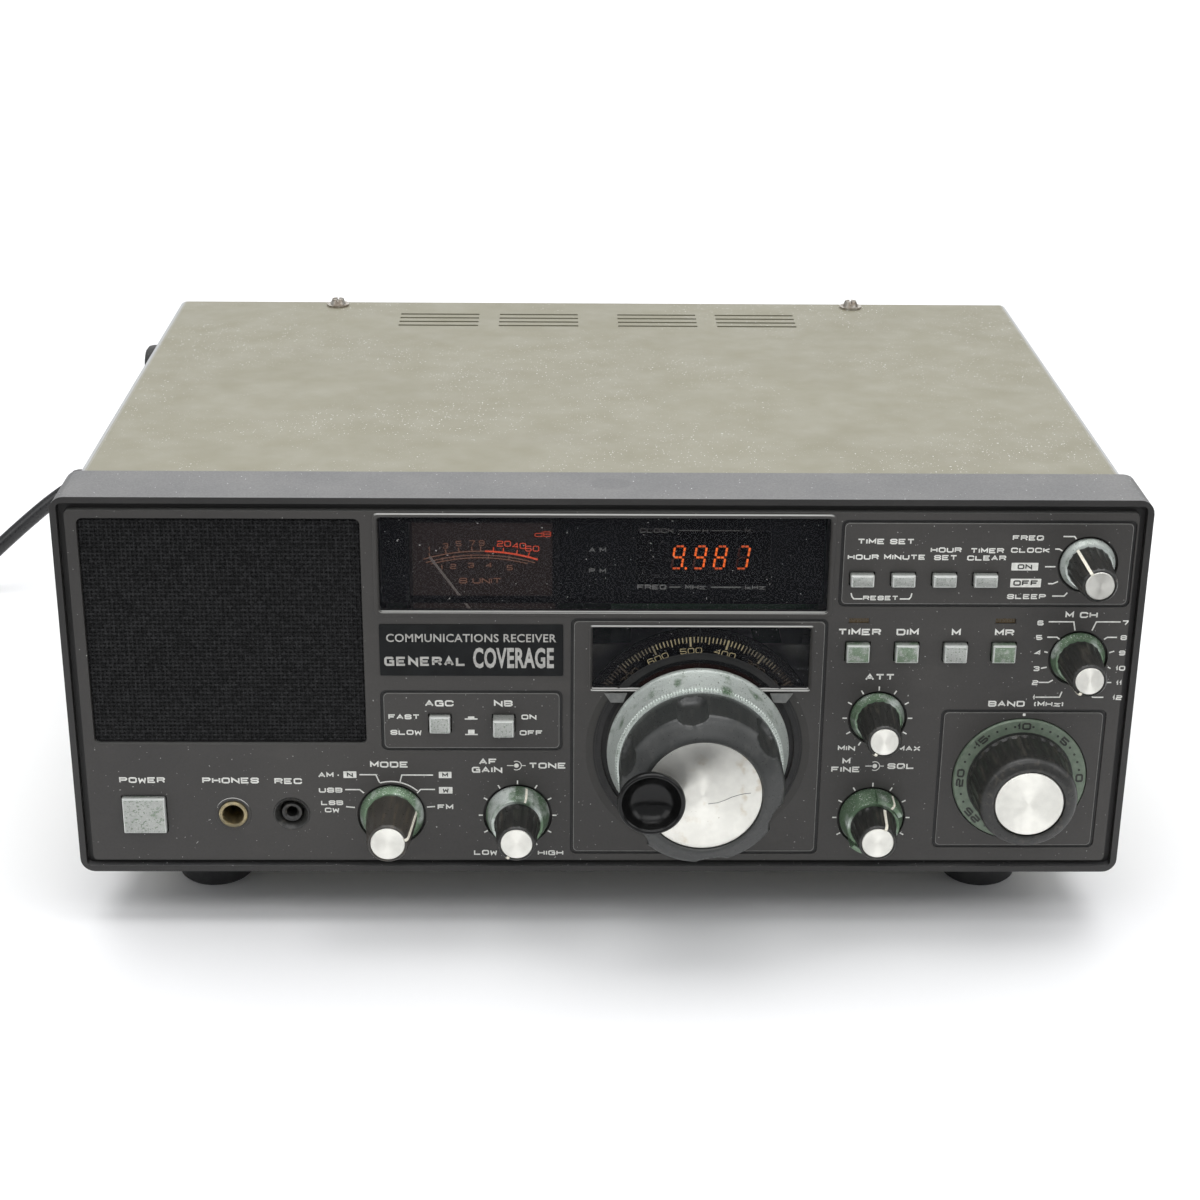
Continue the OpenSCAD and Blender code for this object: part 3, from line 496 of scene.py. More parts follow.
def turned(bm, place, profile, steps=64, shape=None, finish=0, span=TAU, start=0.0):
    """A turned form. profile is (radius, out) pairs; shape(angle, radius, out) may change a radius."""
    whole = abs(span - TAU) < 1e-6
    count = steps if whole else steps + 1
    rings = []
    for radius, out in profile:
        if radius < 1e-6:
            rings.append([bm.verts.new(place @ Vector((0, 0, out)))])
            continue
        ring = []
        for k in range(count):
            angle = start + span * k / steps
            r = shape(angle, radius, out) if shape else radius
            ring.append(bm.verts.new(place @ Vector((r * math.sin(angle), r * math.cos(angle), out))))
        rings.append(ring)
    for a, b in zip(rings, rings[1:]):
        for k in range(steps):
            n = (k + 1) % count
            corners = [a[k % len(a)], a[n % len(a)], b[n % len(b)], b[k % len(b)]]
            corners = list(dict.fromkeys(corners))
            if len(corners) > 2:
                bm.faces.new(corners).material_index = finish
    return rings


def rounded(width, height, radius, steps=5):
    """Corner points of a rounded rectangle about the origin."""
    points = []
    for quarter, (sx, sy) in enumerate(((1, 1), (-1, 1), (-1, -1), (1, -1))):
        cx, cy = sx * (width / 2 - radius), sy * (height / 2 - radius)
        for k in range(steps + 1):
            angle = TAU / 4 * (quarter + k / steps)
            points.append((cx + radius * math.cos(angle), cy + radius * math.sin(angle)))
    return points


def lofted(bm, place, loops, finish=0, caps=(True, True)):
    """Joins outlines, each (points, out), one after another, and caps the first and the last."""
    rings = [[bm.verts.new(place @ Vector((u, v, out))) for u, v in points] for points, out in loops]
    for a, b in zip(rings, rings[1:]):
        for k in range(len(a)):
            n = (k + 1) % len(a)
            bm.faces.new((a[k], a[n], b[n], b[k])).material_index = finish
    for ring, wanted in ((rings[0], caps[0]), (rings[-1], caps[1])):
        if wanted:
            bm.faces.new(ring).material_index = finish
    return rings


def ring_of_loops(bm, place, loops, finish=0):
    """A closed frame: the last outline joins back to the first."""
    rings = lofted(bm, place, loops, finish, (False, False))
    first, last = rings[0], rings[-1]
    for k in range(len(first)):
        n = (k + 1) % len(first)
        bm.faces.new((last[k], last[n], first[n], first[k])).material_index = finish


def slab(bm, place, width, height, low, high, radius=0.2, finish=0, middle=(0, 0)):
    points = [(u + middle[0], v + middle[1]) for u, v in rounded(width, height, radius, 3)]
    lofted(bm, place, [(points, low), (points, high)], finish)


def stroke(bm, place, points, width, low, high, finish=0):
    """A raised line through points, mitred at its corners."""
    sides = []
    for i, point in enumerate(points):
        before = Vector(points[max(i - 1, 0)])
        after = Vector(points[min(i + 1, len(points) - 1)])
        here = Vector(point)
        way_in = (here - before).normalized() if i else (after - here).normalized()
        way_out = (after - here).normalized() if i < len(points) - 1 else way_in
        middle = (way_in + way_out).normalized()
        across = Vector((-middle.y, middle.x))
        lean = max(0.4, across.dot(Vector((-way_in.y, way_in.x))))
        across *= width / 2 / lean
        sides.append((here + across, here - across))
    outline = [a for a, _ in sides] + [b for _, b in reversed(sides)]
    tops = [bm.verts.new(place @ Vector((*p, high))) for p in outline]
    feet = [bm.verts.new(place @ Vector((*p, low))) for p in outline]
    count = len(outline)
    for k in range(len(sides) - 1):
        for ring in (tops, feet):
            quad = (ring[k], ring[k + 1], ring[count - 2 - k], ring[count - 1 - k])
            bm.faces.new(quad).material_index = finish
    for k in range(count):
        n = (k + 1) % count
        bm.faces.new((feet[k], feet[n], tops[n], tops[k])).material_index = finish


def polar(radius, angle, middle=(0, 0)):
    """The point at a radius and an angle, in degrees clockwise from the top."""
    a = math.radians(angle)
    return middle[0] + radius * math.sin(a), middle[1] + radius * math.cos(a)


def arc(radius, start, end, steps, middle):
    """Points along an arc, in degrees clockwise from the top."""
    return [polar(radius, start + (end - start) * k / steps, middle) for k in range(steps + 1)]


def spoke(bm, place, middle, angle, inner, outer, width, low, high, finish=0):
    """A raised line along a radius."""
    ends = [polar(inner, angle, middle), polar(outer, angle, middle)]
    stroke(bm, place, ends, width, low, high, finish)


GLYPHS = {
    "A": "00 36 60,12 52", "B": "00 06 56 65 64 53 62 61 50 00,03 53", "C": "64 65 56 16 05 01 10 50 61 62",
    "D": "00 06 56 65 61 50 00", "E": "66 06 00 60,03 53", "F": "66 06 00,03 53",
    "G": "65 56 16 05 01 10 60 63 33", "H": "06 00,66 60,03 63", "I": "06 00", "K": "06 00,65 13 60",
    "L": "06 00 60", "M": "00 06 32 66 60", "N": "00 06 60 66", "O": "10 50 61 65 56 16 05 01 10",
    "P": "00 06 56 65 64 53 03", "Q": "60 50 10 01 05 16 56 65 61 50,42 60",
    "R": "00 06 56 65 64 53 03,43 60", "S": "64 65 56 16 05 04 13 53 62 61 50 10 01 02", "T": "06 66,36 30",
    "U": "06 01 10 50 61 66", "W": "06 10 34 50 66", "X": "06 60,00 66", "z": "04 64 00 60",
    "k": "06 00,53 12 60", "d": "66 60 10 01 03 14 64", "0": "10 50 61 65 56 16 05 01 10", "1": "03 16 10",
    "2": "05 16 56 65 64 53 13 02 00 60", "3": "05 16 56 65 64 53 62 61 50 10 01,23 53",
    "4": "50 56 02 62", "5": "66 06 03 53 62 61 50 10 01", "6": "65 56 16 05 01 10 50 61 62 53 03",
    "7": "06 66 65 30", "8": "13 04 05 16 56 65 64 53 13 02 01 10 50 61 62 53",
    "9": "01 10 50 61 65 56 16 05 04 13 63", "(": "26 15 11 20", ")": "06 15 11 00",
}
GLYPH_WIDTHS = {"I": 0.0, "1": 0.2, "(": 0.35, ")": 0.35, " ": 0.3}
GLYPH_GAP = 0.20
INK_HIGH = 0.07


def letters(bm, place, text, u, v, tall, wide=1.05, out=0.0, finish=0, turn=0.0, weight=0.235,
            thick=INK_HIGH):
    """Squared printing, tall millimetres high and centred at (u, v); turn is in degrees, clockwise."""
    here = place @ Matrix.Translation((u, v, out)) @ Matrix.Rotation(math.radians(-turn), 4, "Z")
    line = weight * tall
    cell = tall - line
    advances = [wide * GLYPH_WIDTHS.get(c, 1.0) * tall for c in text]
    step = (GLYPH_GAP + weight) * tall
    at = -(sum(advances) + step * (len(text) - 1)) / 2
    for c, advance in zip(text, advances):
        for strokes in GLYPHS.get(c, "").split(","):
            width = advance if c not in "1(" else wide * tall
            points = [(at + int(p[0]) / 6 * width, (int(p[1]) / 6 - 0.5) * cell) for p in strokes.split()]
            if points:
                stroke(bm, here, points, line, 0, thick, finish)
        at += advance + step


def type_case(text, bold):
    """The mesh of a word, centred, one unit high: its points and faces."""
    curve = bpy.data.curves.new("type", "FONT")
    curve.body = text
    curve.resolution_u = 3
    curve.offset = bold
    curve.extrude = 0.02
    curve.space_character = 1.06
    word = bpy.data.objects.new("type", curve)
    bpy.context.scene.collection.objects.link(word)
    graph = bpy.context.evaluated_depsgraph_get()
    mesh = bpy.data.meshes.new_from_object(word.evaluated_get(graph))
    points = [v.co.copy() for v in mesh.vertices]
    faces = [tuple(p.vertices) for p in mesh.polygons]
    bpy.data.objects.remove(word)
    bpy.data.curves.remove(curve)
    bpy.data.meshes.remove(mesh)
    left, right = min(p.x for p in points), max(p.x for p in points)
    low, high = min(p.y for p in points), max(p.y for p in points)
    middle = Vector(((left + right) / 2, (low + high) / 2, 0))
    return [(p - middle) / (high - low) for p in points], faces


def plain_words(bm, place, text, u, v, tall, span, out, bold):
    """Raised printing in the plain built-in type, tall millimetres high and span wide."""
    points, faces = type_case(text, bold)
    wide = span / 2 / max(p.x for p in points)
    made = []
    for p in points:
        height = out + (INK_HIGH if p.z > 0 else 0.0)
        made.append(bm.verts.new(place @ Vector((p.x * wide + u, p.y * tall + v, height))))
    for face in faces:
        try:
            bm.faces.new([made[i] for i in face])
        except ValueError:
            continue


def finished(name, bm, finishes, stands_for=(), body="cabinet", smooth=35, bevel=0.0):
    """Makes the piece, gives it its finishes, and lets it ride on its CAD body."""
    bmesh.ops.recalc_face_normals(bm, faces=bm.faces)
    mesh = bpy.data.meshes.new(name)
    bm.to_mesh(mesh)
    bm.free()
    piece = bpy.data.objects.new(name, mesh)
    bpy.context.scene.collection.objects.link(piece)
    for key in finishes:
        mesh.materials.append(MATERIALS[key])
    mesh.shade_smooth()
    mesh.set_sharp_from_angle(angle=math.radians(smooth))
    if bevel:
        add_bevel(piece, bevel)
    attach(piece, body)
    if stands_for:
        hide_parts(*stands_for)
    return piece


def add_bevel(piece, width, segments=2, angle=35):
    bevel = piece.modifiers.new("edge", "BEVEL")
    bevel.width = width * MM
    bevel.segments = segments
    bevel.limit_method = "ANGLE"
    bevel.angle_limit = math.radians(angle)
    bevel.harden_normals = True


# ---- Mains cord ---------------------------------------------------------------------------------

CORD_DIAMETER = 0.0065
CORD_ROUTE = [
    (-0.140, 0.153, 0.076), (-0.140, 0.160, 0.076), (-0.142, 0.169, 0.0755),
    (-0.148, 0.178, 0.0745), (-0.158, 0.184, 0.073), (-0.170, 0.187, 0.0705),
    (-0.184, 0.188, 0.0665), (-0.198, 0.188, 0.0615), (-0.212, 0.188, 0.055),
    (-0.225, 0.188, 0.048), (-0.236, 0.187, 0.0405), (-0.247, 0.186, 0.0315),
    (-0.258, 0.184, 0.022), (-0.268, 0.180, 0.0135), (-0.280, 0.171, 0.007),
    (-0.291, 0.1615, 0.004), (-0.302, 0.152, 0.0034), (-0.313, 0.143, 0.0034),
    (-0.324, 0.1336, 0.0034),
]
CORD_TAIL = [
    (-0.3446, 0.069, 0.0088), (-0.3418, 0.060, 0.0072), (-0.3392, 0.051, 0.0063),
    (-0.337, 0.042, 0.0062),
]
COIL_MIDDLE = (-0.308, 0.092)
COIL_TRACKS = (0.042, 0.0355, 0.029)
COIL_LEVELS = (0.0034, 0.0099)
COIL_START, COIL_SHIFT, COIL_END = 130.0, 60.0, 70.0
COIL_STEPS = 36


def coil_points():
    """Two layers of turns; each turn moves to the next track over its last stretch."""
    low, high = COIL_LEVELS
    turns = [(r, low) for r in COIL_TRACKS] + [(r, high) for r in reversed(COIL_TRACKS)]
    points = []
    for i, (radius, level) in enumerate(turns):
        next_radius, next_level = turns[min(i + 1, len(turns) - 1)]
        for k in range(COIL_STEPS):
            angle = COIL_START + 360.0 * k / COIL_STEPS
            share = max(0.0, (angle - COIL_START - 360 + COIL_SHIFT) / COIL_SHIFT)
            ease = share * share * (3 - 2 * share)
            r = radius + (next_radius - radius) * ease
            if next_level > level:
                r -= CORD_DIAMETER / 2 * math.sin(math.pi * share)
            points.append(coil_point(r, angle, level + (next_level - level) * ease))
    for k in range(int(COIL_END / 10) + 1):
        points.append(coil_point(turns[-1][0], COIL_START + 10.0 * k, turns[-1][1]))
    return points


def coil_point(radius, angle, level):
    a = math.radians(angle)
    return (COIL_MIDDLE[0] + radius * math.cos(a), COIL_MIDDLE[1] + radius * math.sin(a), level)


def eased(points, parts=4):
    """More points along a smooth line through the given ones."""
    made = []
    last = len(points) - 1
    for i in range(last):
        p0, p1 = Vector(points[max(i - 1, 0)]), Vector(points[i])
        p2, p3 = Vector(points[i + 1]), Vector(points[min(i + 2, last)])
        for k in range(parts):
            t = k / parts
            a = 2 * p1 + (p2 - p0) * t
            b = (2 * p0 - 5 * p1 + 4 * p2 - p3) * t * t
            c = (3 * p1 - p0 - 3 * p2 + p3) * t ** 3
            made.append((a + b + c) / 2)
    made.append(Vector(points[last]))
    return made


def make_cord():
    route = eased(CORD_ROUTE + coil_points() + CORD_TAIL)
    data = bpy.data.curves.new("mains_flex", "CURVE")
    data.dimensions = "3D"
    data.bevel_depth = CORD_DIAMETER / 2
    data.bevel_resolution = 5
    data.use_fill_caps = True
    line = data.splines.new("POLY")
    line.points.add(len(route) - 1)
    for point, place in zip(line.points, route):
        point.co = (*place, 1)
    line.use_smooth = True
    data.materials.append(MATERIALS["cord_rubber"])
    flex = bpy.data.objects.new("mains_flex", data)
    bpy.context.scene.collection.objects.link(flex)
    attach(flex, "cabinet")
    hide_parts("power_cord", "cord_coil")
    return flex


def make_strain_relief():
    """A tapered sleeve with round grooves, standing out of the rear panel."""
    low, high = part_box("cord_grommet")
    place = on_rear((low.x + high.x) / 2 / MM, ((low.z + high.z) / 2 - BASE_Z) / MM)
    end = (high.y - REAR_Y) / MM
    profile = [
        (0, -6), (6.4, -6), (6.4, -1.6), (4.9, -1.6), (4.9, 0), (7.3, 0), (7.5, 0.6), (7.4, 2.0),
        (6.6, 2.4),
    ]
    count = 5
    pitch = (end - 4) / count
    for k in range(count):
        base = 3.0 + k * pitch
        radius = 5.9 - 1.6 * k / count
        profile += [(radius, base), (radius, base + 0.62 * pitch), (radius - 0.9, base + 0.66 * pitch),
                    (radius - 0.9, base + 0.96 * pitch)]
    profile += [(3.9, end - 1), (3.7, end), (0, end)]
    bm = bmesh.new()
    turned(bm, place, profile, 40)
    return finished("strain_relief", bm, ["rubber"], ["cord_grommet"], bevel=0.15)


PLUG_AT = CORD_TAIL[-1]
PLUG_TURN = -76.0


def make_plug():
    """A moulded flat plug with two blades, lying on its side past the coil."""
    turn = Matrix.Rotation(math.radians(PLUG_TURN), 4, "Z")
    axes = Matrix(((0, 0, 1), (1, 0, 0), (0, 1, 0))).to_4x4()
    place = Matrix.Translation(PLUG_AT) @ turn @ axes @ Matrix.Scale(MM, 4)
    bm = bmesh.new()
    profile = [(0, 0), (3.9, 0)]
    for k in range(4):
        radius = 4.1 + 0.3 * k
        for less, along in ((0, 0.8), (0, 2.6), (0.7, 2.9), (0.7, 3.6)):
            profile.append((radius - less, along + 3 * k))
    profile += [(5.2, 13.6), (0, 13.6)]
    turned(bm, place, profile, 32)
    steps = (
        (13, 6.6, 10), (14, 7.2, 11.2), (21, 9.4, 11.8), (26.5, 11.9, 12), (31.2, 12, 12), (32, 11.4, 11.2),
    )
    lofted(bm, place, [(rounded(2 * half, tall, 2.4), along) for along, half, tall in steps])
    for side in (-1, 1):
        for k in range(3):
            slab(bm, place, 0.9, 8, 16 + 3 * k, 17.2 + 3 * k, 0.4, 0, (side * (8.6 + 0.9 * k), 0))
    body = finished("plug_moulding", bm, ["cord_rubber"], ["mains_plug"], bevel=0.3)
    bm = bmesh.new()
    for side in (-1, 1):
        blade = place @ Matrix.Translation((side * 6.35, 0, 0))
        outlines = [(1.5, 6.3, 30), (1.5, 6.3, 47.6), (1.0, 4.9, 49)]
        lofted(bm, blade, [(rounded(thick, wide, 0.2, 2), out) for thick, wide, out in outlines])
        hole = blade @ Matrix.Translation((0, 0, 44)) @ Matrix.Rotation(TAU / 4, 4, "Y")
        turned(bm, hole, [(0, -0.8), (1.6, -0.8), (1.6, 0.8), (0, 0.8)], 20, finish=1)
    pins = finished("plug_blades", bm, ["brass", "well_shade"], bevel=0.1)
    return [body, pins]


def make_coil_tie():
    """A black tie drawn round the coil's turns."""
    bm = bmesh.new()
    angle = math.radians(-20)
    middle = Vector((COIL_MIDDLE[0], COIL_MIDDLE[1], 0)) / MM
    out = Vector((math.cos(angle), math.sin(angle), 0))
    along = Vector((-out.y, out.x, 0))
    origin = (middle + out * COIL_TRACKS[1] / MM) * MM
    place = local_frame(origin, out, (0, 0, 1), along)
    half = 3 * CORD_DIAMETER / 2 / MM + 0.7
    tall = 2 * CORD_DIAMETER / MM + 0.9
    loops = []
    for grow, width in ((0, 2.2), (0.9, 2.2), (0.9, -2.2), (0, -2.2)):
        points = [(u, v + tall / 2 - 0.15) for u, v in rounded(2 * half + grow, tall + grow - 0.9, 3.2, 5)]
        loops.append((points, width))
    ring_of_loops(bm, place, loops)
    slab(bm, place, 5.5, 4.5, -2.9, 2.9, 0.6, 0, (0, tall + 0.2))
    return finished("coil_tie", bm, ["black_plastic"])


# ---- Floor --------------------------------------------------------------------------------------

FLOOR_HALF = 8.0
CARD_FROM, CARD_TO, CARD_HALF = -0.38, -3.0, 3.0


def stage_sheet(name, corners, material):
    mesh = bpy.data.meshes.new(name)
    mesh.from_pydata(corners, [], [(0, 1, 2, 3)])
    mesh.materials.append(material)
    sheet = bpy.data.objects.new(name, mesh)
    bpy.context.scene.collection.objects.link(sheet)
    return sheet


def make_floor():
    s = FLOOR_HALF
    pale = grained("floor", (0.92, 0.92, 0.92), (0.89, 0.89, 0.895), 0.6, size=300, depth=0.001)
    stage_sheet("floor", [(-s, -s, 0), (s, -s, 0), (s, s, 0), (-s, s, 0)], pale)


def make_dark_card():
    """A black card on the floor in front, as a photographer uses: only gloss sees it."""
    w = CARD_HALF
    corners = [(-w, CARD_TO, 0.002), (w, CARD_TO, 0.002), (w, CARD_FROM, 0.002), (-w, CARD_FROM, 0.002)]
    black = grained("dark_card", (0.01, 0.01, 0.012), (0.014, 0.014, 0.016), 0.9, size=100)
    card = stage_sheet("dark_card", corners, black)
    card.visible_camera = False
    card.visible_diffuse = False
    card.visible_shadow = False


# ---- Cabinet ------------------------------------------------------------------------------------

def dress_cad_nodes():
    """Gives every CAD node the finish of its record slot, and fine edges where they show."""
    for part in frame["record"]["subparts"]:
        node = frame["nodes"][part["node"]]
        node.data.materials.clear()
        node.data.materials.append(MATERIALS[part["material_slot"]])
    for name, width in (("front_bezel", 0.5), ("top_cover", 0.25), ("rear_panel", 0.2), ("side_feet", 0.3)):
        add_bevel(frame["nodes"][name], width, 2, 50)
    add_bevel(frame["nodes"]["front_panel"], 0.18, 1, 60)


def make_grille():
    """Woven cloth: threads that pass over and under each other."""
    x, z = spot_of("speaker_grille")
    width, height = size_of("speaker_grille")
    pitch = 1.33
    out = stands_out("speaker_grille") - 0.1
    bm = bmesh.new()
    place = on_panel(x, z)
    columns, rows = int(width / pitch), int(height / pitch)
    slab(bm, place, width, height, out - 0.9, out - 0.75, 1.8, 1)
    for upright in (0, 1):
        count, run = (columns, rows) if upright else (rows, columns)
        for i in range(count):
            across = (i - (count - 1) / 2) * pitch
            cloth_thread(bm, place, across, run, pitch, upright, i % 2, out - 0.35)
    finished("grille_cloth", bm, ["grille_cloth", "well_shade"], ["speaker_grille"])


def cloth_thread(bm, place, across, run, pitch, upright, parity, out):
    """One flat thread, which rises and falls once for every thread it crosses."""
    half, thick = 0.25 * pitch, 0.22
    rings = []
    for k in range(2 * run + 1):
        along = (k / 2 - run / 2) * pitch
        wave = 0.2 * math.cos(math.pi * (k / 2 + parity + upright + 0.5))
        ring = []
        for side, lift in ((-1, 0), (-0.5, thick), (0.5, thick), (1, 0)):
            u, v = (across + side * half, along) if upright else (along, across + side * half)
            ring.append(bm.verts.new(place @ Vector((u, v, out + wave + lift))))
        rings.append(ring)
    for a, b in zip(rings, rings[1:]):
        for j in range(3):
            bm.faces.new((a[j], a[j + 1], b[j + 1], b[j]))
        bm.faces.new((a[3], a[0], b[0], b[3]))


def make_nameplate():
    """A black plate with silver printing in general words."""
    place = on_panel(-40.6, 78.1)
    bm = bmesh.new()
    slab(bm, place, 56.8, 17.3, -0.1, 0.35, 0.4)
    finished("nameplate", bm, ["plate_black"], bevel=0.15)
    bm = bmesh.new()
    plain_words(bm, place, "COMMUNICATIONS RECEIVER", 0, 4.2, 2.75, 52.5, 0.33, 0.012)
    letters(bm, place, "GENERAL", -14.4, -3.7, 3.1, 0.75, 0.33, weight=0.24)
    plain_words(bm, place, "COVERAGE", 13.0, -2.5, 7.0, 25.0, 0.33, 0.03)
    finished("nameplate_printing", bm, ["plate_silver"])


# Middle x and z, width and height of the panel's four framed areas.
FRAME_GROOVES = [
    (-40.8, 53.9, 57, 21), (29.9, 47.7, 79.6, 82.4), (117.2, 107.2, 90, 28.6), (132.7, 33.5, 52.2, 49.2),
]


def make_frame_lines():
    """The dark lines round the panel's framed areas, painted shade in their grooves, each with a thin
    painted highlight inside it.
    """
    bm = bmesh.new()
    for x, z, width, height in FRAME_GROOVES:
        place = on_panel(x, z)
        # Each frame gets painted shade at the bottom of its groove, then a painted highlight along the
        # groove's inner edge.
        for less, broad, low, high, tone in ((0.1, 0.75, -0.58, -0.42, 0), (1.05, 0.16, -0.1, 0.05, 1)):
            depths = (less, less + broad)
            outer, inner = [rounded(width - 2 * d, height - 2 * d, 2.0 - d / 2) for d in depths]
            ring_of_loops(bm, place, [(outer, low), (outer, high), (inner, high), (inner, low)], tone)
    finished("frame_lines", bm, ["groove_black", "notch_edge"])


def make_display_surround():
    """Sloping frames round the display window and the dial window."""
    bm = bmesh.new()
    for node, margin, radius in (("display_window", 1.5, 1.8), ("dial_window", 0.9, 1.0)):
        x, z = spot_of(node)
        width, height = size_of(node)
        place = on_panel(x, z)
        steps = (
            (2 * margin, radius, -0.2), (2 * margin, radius, 0.15), (2 * margin - 0.8, radius - 0.2, 0.40),
            (0.7, radius - 0.5, 0.25), (-0.3, 0.5, -0.75), (0.1, 0.5, -0.9),
        )
        ring_of_loops(bm, place, [(rounded(width + d, height + d, r), out) for d, r, out in steps])
    finished("window_frames", bm, ["panel_plastic"], smooth=25)


# ---- Lettering ----------------------------------------------------------------------------------

WORDS = [
    ("POWER", -145.3, 32.9, 2.0), ("PHONES", -117.4, 32.8, 2.05), ("REC", -99.2, 32.6, 2.05),
    ("MODE", -67.1, 38.5, 2.1), ("AM", -87.2, 34.8, 1.75), ("USB", -85.9, 29.4, 1.75),
    ("LSB", -85.6, 24.9, 1.65), ("CW", -85.7, 22.3, 1.65), ("FM", -49.6, 23.4, 1.8),
    ("AF", -35.9, 39.6, 2.05), ("GAIN", -36.2, 36.7, 2.05), ("TONE", -17.1, 38.2, 2.05),
    ("LOW", -37.0, 7.0, 1.75), ("HIGH", -16.1, 6.9, 1.75),
    ("AGC", -50.9, 59.9, 2.1), ("NB", -30.9, 59.9, 2.1), ("FAST", -62.0, 55.2, 1.7),
    ("SLOW", -61.5, 49.8, 1.7), ("ON", -22.9, 55.2, 1.7), ("OFF", -22.2, 49.7, 1.7),
    ("TIME SET", 85.9, 114.5, 1.75), ("HOUR", 79.2, 109.4, 1.65), ("MINUTE", 91.9, 109.4, 1.65),
    ("HOUR", 104.4, 111.8, 1.65), ("SET", 104.4, 109.3, 1.65), ("TIMER", 117.0, 111.6, 1.65),
    ("CLEAR", 117.0, 109.2, 1.65), ("RESET", 85.3, 95.9, 1.5),
    ("FREQ", 129.2, 115.8, 1.65), ("CLOCK", 130.2, 111.8, 1.65), ("SLEEP", 130.2, 96.5, 1.65),
    ("TIMER", 79.4, 84.5, 2.15), ("DIM", 94.3, 84.5, 2.15), ("M", 109.4, 84.4, 2.15),
    ("MR", 124.4, 84.4, 2.15), ("M CH", 147.8, 90.4, 2.0),
    ("ATT", 86.6, 69.2, 2.15), ("MIN", 77.4, 44.5, 1.7), ("MAX", 97.2, 44.4, 1.7),
    ("M", 77.6, 39.9, 1.95), ("FINE", 77.5, 37.0, 1.95), ("SQL", 95.0, 38.2, 2.0),
    ("BAND", 126.9, 60.1, 2.0), ("(MHz)", 140.3, 60.0, 1.7),
]
LEFT_CHANNELS = zip("654321", (87.7, 82.8, 77.6, 72.2, 67.4, 62.3))
RIGHT_CHANNELS = zip(("7", "8", "9", "10", "11", "12"), (87.8, 82.8, 77.6, 72.4, 67.4, 62.3))
BOXED_WORDS = [
    ("N", -79.6, 34.9, 4.1, 2.3), ("M", -49.5, 34.85, 4.0, 2.2), ("W", -49.4, 29.4, 4.3, 2.3),
    ("ON", 128.9, 106.4, 8.2, 2.5), ("OFF", 129.6, 101.0, 9.4, 2.8),
]
LEADS = [
    [(-76.6, 34.9), (-71.4, 34.9), (-70.3, 32.1)], [(-53.3, 34.8), (-63.2, 34.8), (-63.9, 32.1)],
    [(-81.3, 29.6), (-76.7, 29.6), (-75.4, 28.4)], [(-52.8, 29.7), (-57.3, 29.7), (-58.5, 28.4)],
    [(-81.2, 23.5), (-78.4, 23.2)], [(-52.9, 23.6), (-55.5, 23.4)],
    [(76.1, 97.5), (76.4, 96.4), (77.0, 95.6), (79.7, 95.6)],
    [(91.2, 95.6), (94.1, 95.6), (94.6, 96.3), (94.8, 97.5)],
    [(139.9, 116.3), (143.3, 116.3), (143.9, 115.5)], [(137.7, 112.2), (139.0, 112.2), (140.0, 111.6)],
    [(135.1, 106.4), (138.3, 106.4)], [(136.5, 100.8), (138.0, 100.8), (139.5, 101.5)],
    [(138.1, 96.7), (141.8, 96.7), (142.7, 97.8)],
    [(137.8, 88.1), (145.6, 88.1), (146.2, 85.2)], [(160.1, 88.1), (152.6, 88.1), (151.5, 85.2)],
    [(137.8, 82.9), (140.8, 82.9), (141.7, 82.2)], [(159.5, 82.9), (156.5, 82.9), (155.5, 82.2)],
    [(137.3, 78.0), (138.4, 77.7)], [(159.1, 78.2), (157.6, 77.7)],
    [(136.7, 72.3), (138.5, 72.7)], [(158.5, 72.3), (157.6, 72.8)],
    [(136.4, 67.5), (139.5, 67.5), (140.8, 68.3)], [(159.2, 67.5), (157.0, 67.5), (155.7, 68.3)],
    [(135.8, 62.4), (143.4, 62.4), (144.0, 64.3)], [(157.2, 62.4), (153.8, 62.4), (152.5, 64.3)],
]
LINE = 0.40


def make_legends():
    """All printing on the front panel, as one piece of raised ink."""
    bm = bmesh.new()
    place = on_panel()
    for text, x, z, tall in WORDS:
        letters(bm, place, text, x, z, tall)
    for side, channels in ((135.3, LEFT_CHANNELS), (161.6, RIGHT_CHANNELS)):
        for text, z in channels:
            letters(bm, place, text, side, z, 1.65, 0.95)
    for lead in LEADS:
        stroke(bm, place, lead, LINE, 0, INK_HIGH)
    stroke(bm, place, arc(12.0, -17, 44, 16, spot_of("mode_knob")), LINE, 0, INK_HIGH)
    for word, x, z, width, height in BOXED_WORDS:
        slab(bm, place, width, height, 0, 0.06, 0.1, 0, (x, z))
        letters(bm, place, word, x, z, height * 0.64, 1.05, 0.06, 1)
    knob_ticks(bm, place, spot_of("attenuator_knob"), 9.6, 11.0)
    for node in ("gain_knob", "fine_knob"):
        knob_ticks(bm, place, spot_of(node), 11.1, 12.4)
    for x in (-26.9, 86.7):
        shared_axis_mark(bm, place, x, 38.2)
    for z, wide in ((54.5, 0.7), (49.1, 1.5)):
        stroke(bm, place, [(-43.0, z), (-39.0, z)], 0.4, 0, INK_HIGH)
        slab(bm, place, 2.0, wide, 0, INK_HIGH, 0.1, 0, (-41.0, z + wide / 2 + 0.15))
    band_x = spot_of("band_knob")[0]
    slab(bm, place, 0.9, 0.9, 0, INK_HIGH, 0.2, 0, (band_x - 0.2, 56.3))
    slab(bm, place, 0.45, 0.45, 0, INK_HIGH, 0.2, 0, (-83.3, 34.7))
    finished("panel_printing", bm, ["ink", "dark_ink"], smooth=20)


def knob_ticks(bm, place, middle, inner, outer):
    for angle in range(-150, 151, 30):
        spoke(bm, place, middle, angle, inner, outer, 0.42, 0, INK_HIGH)


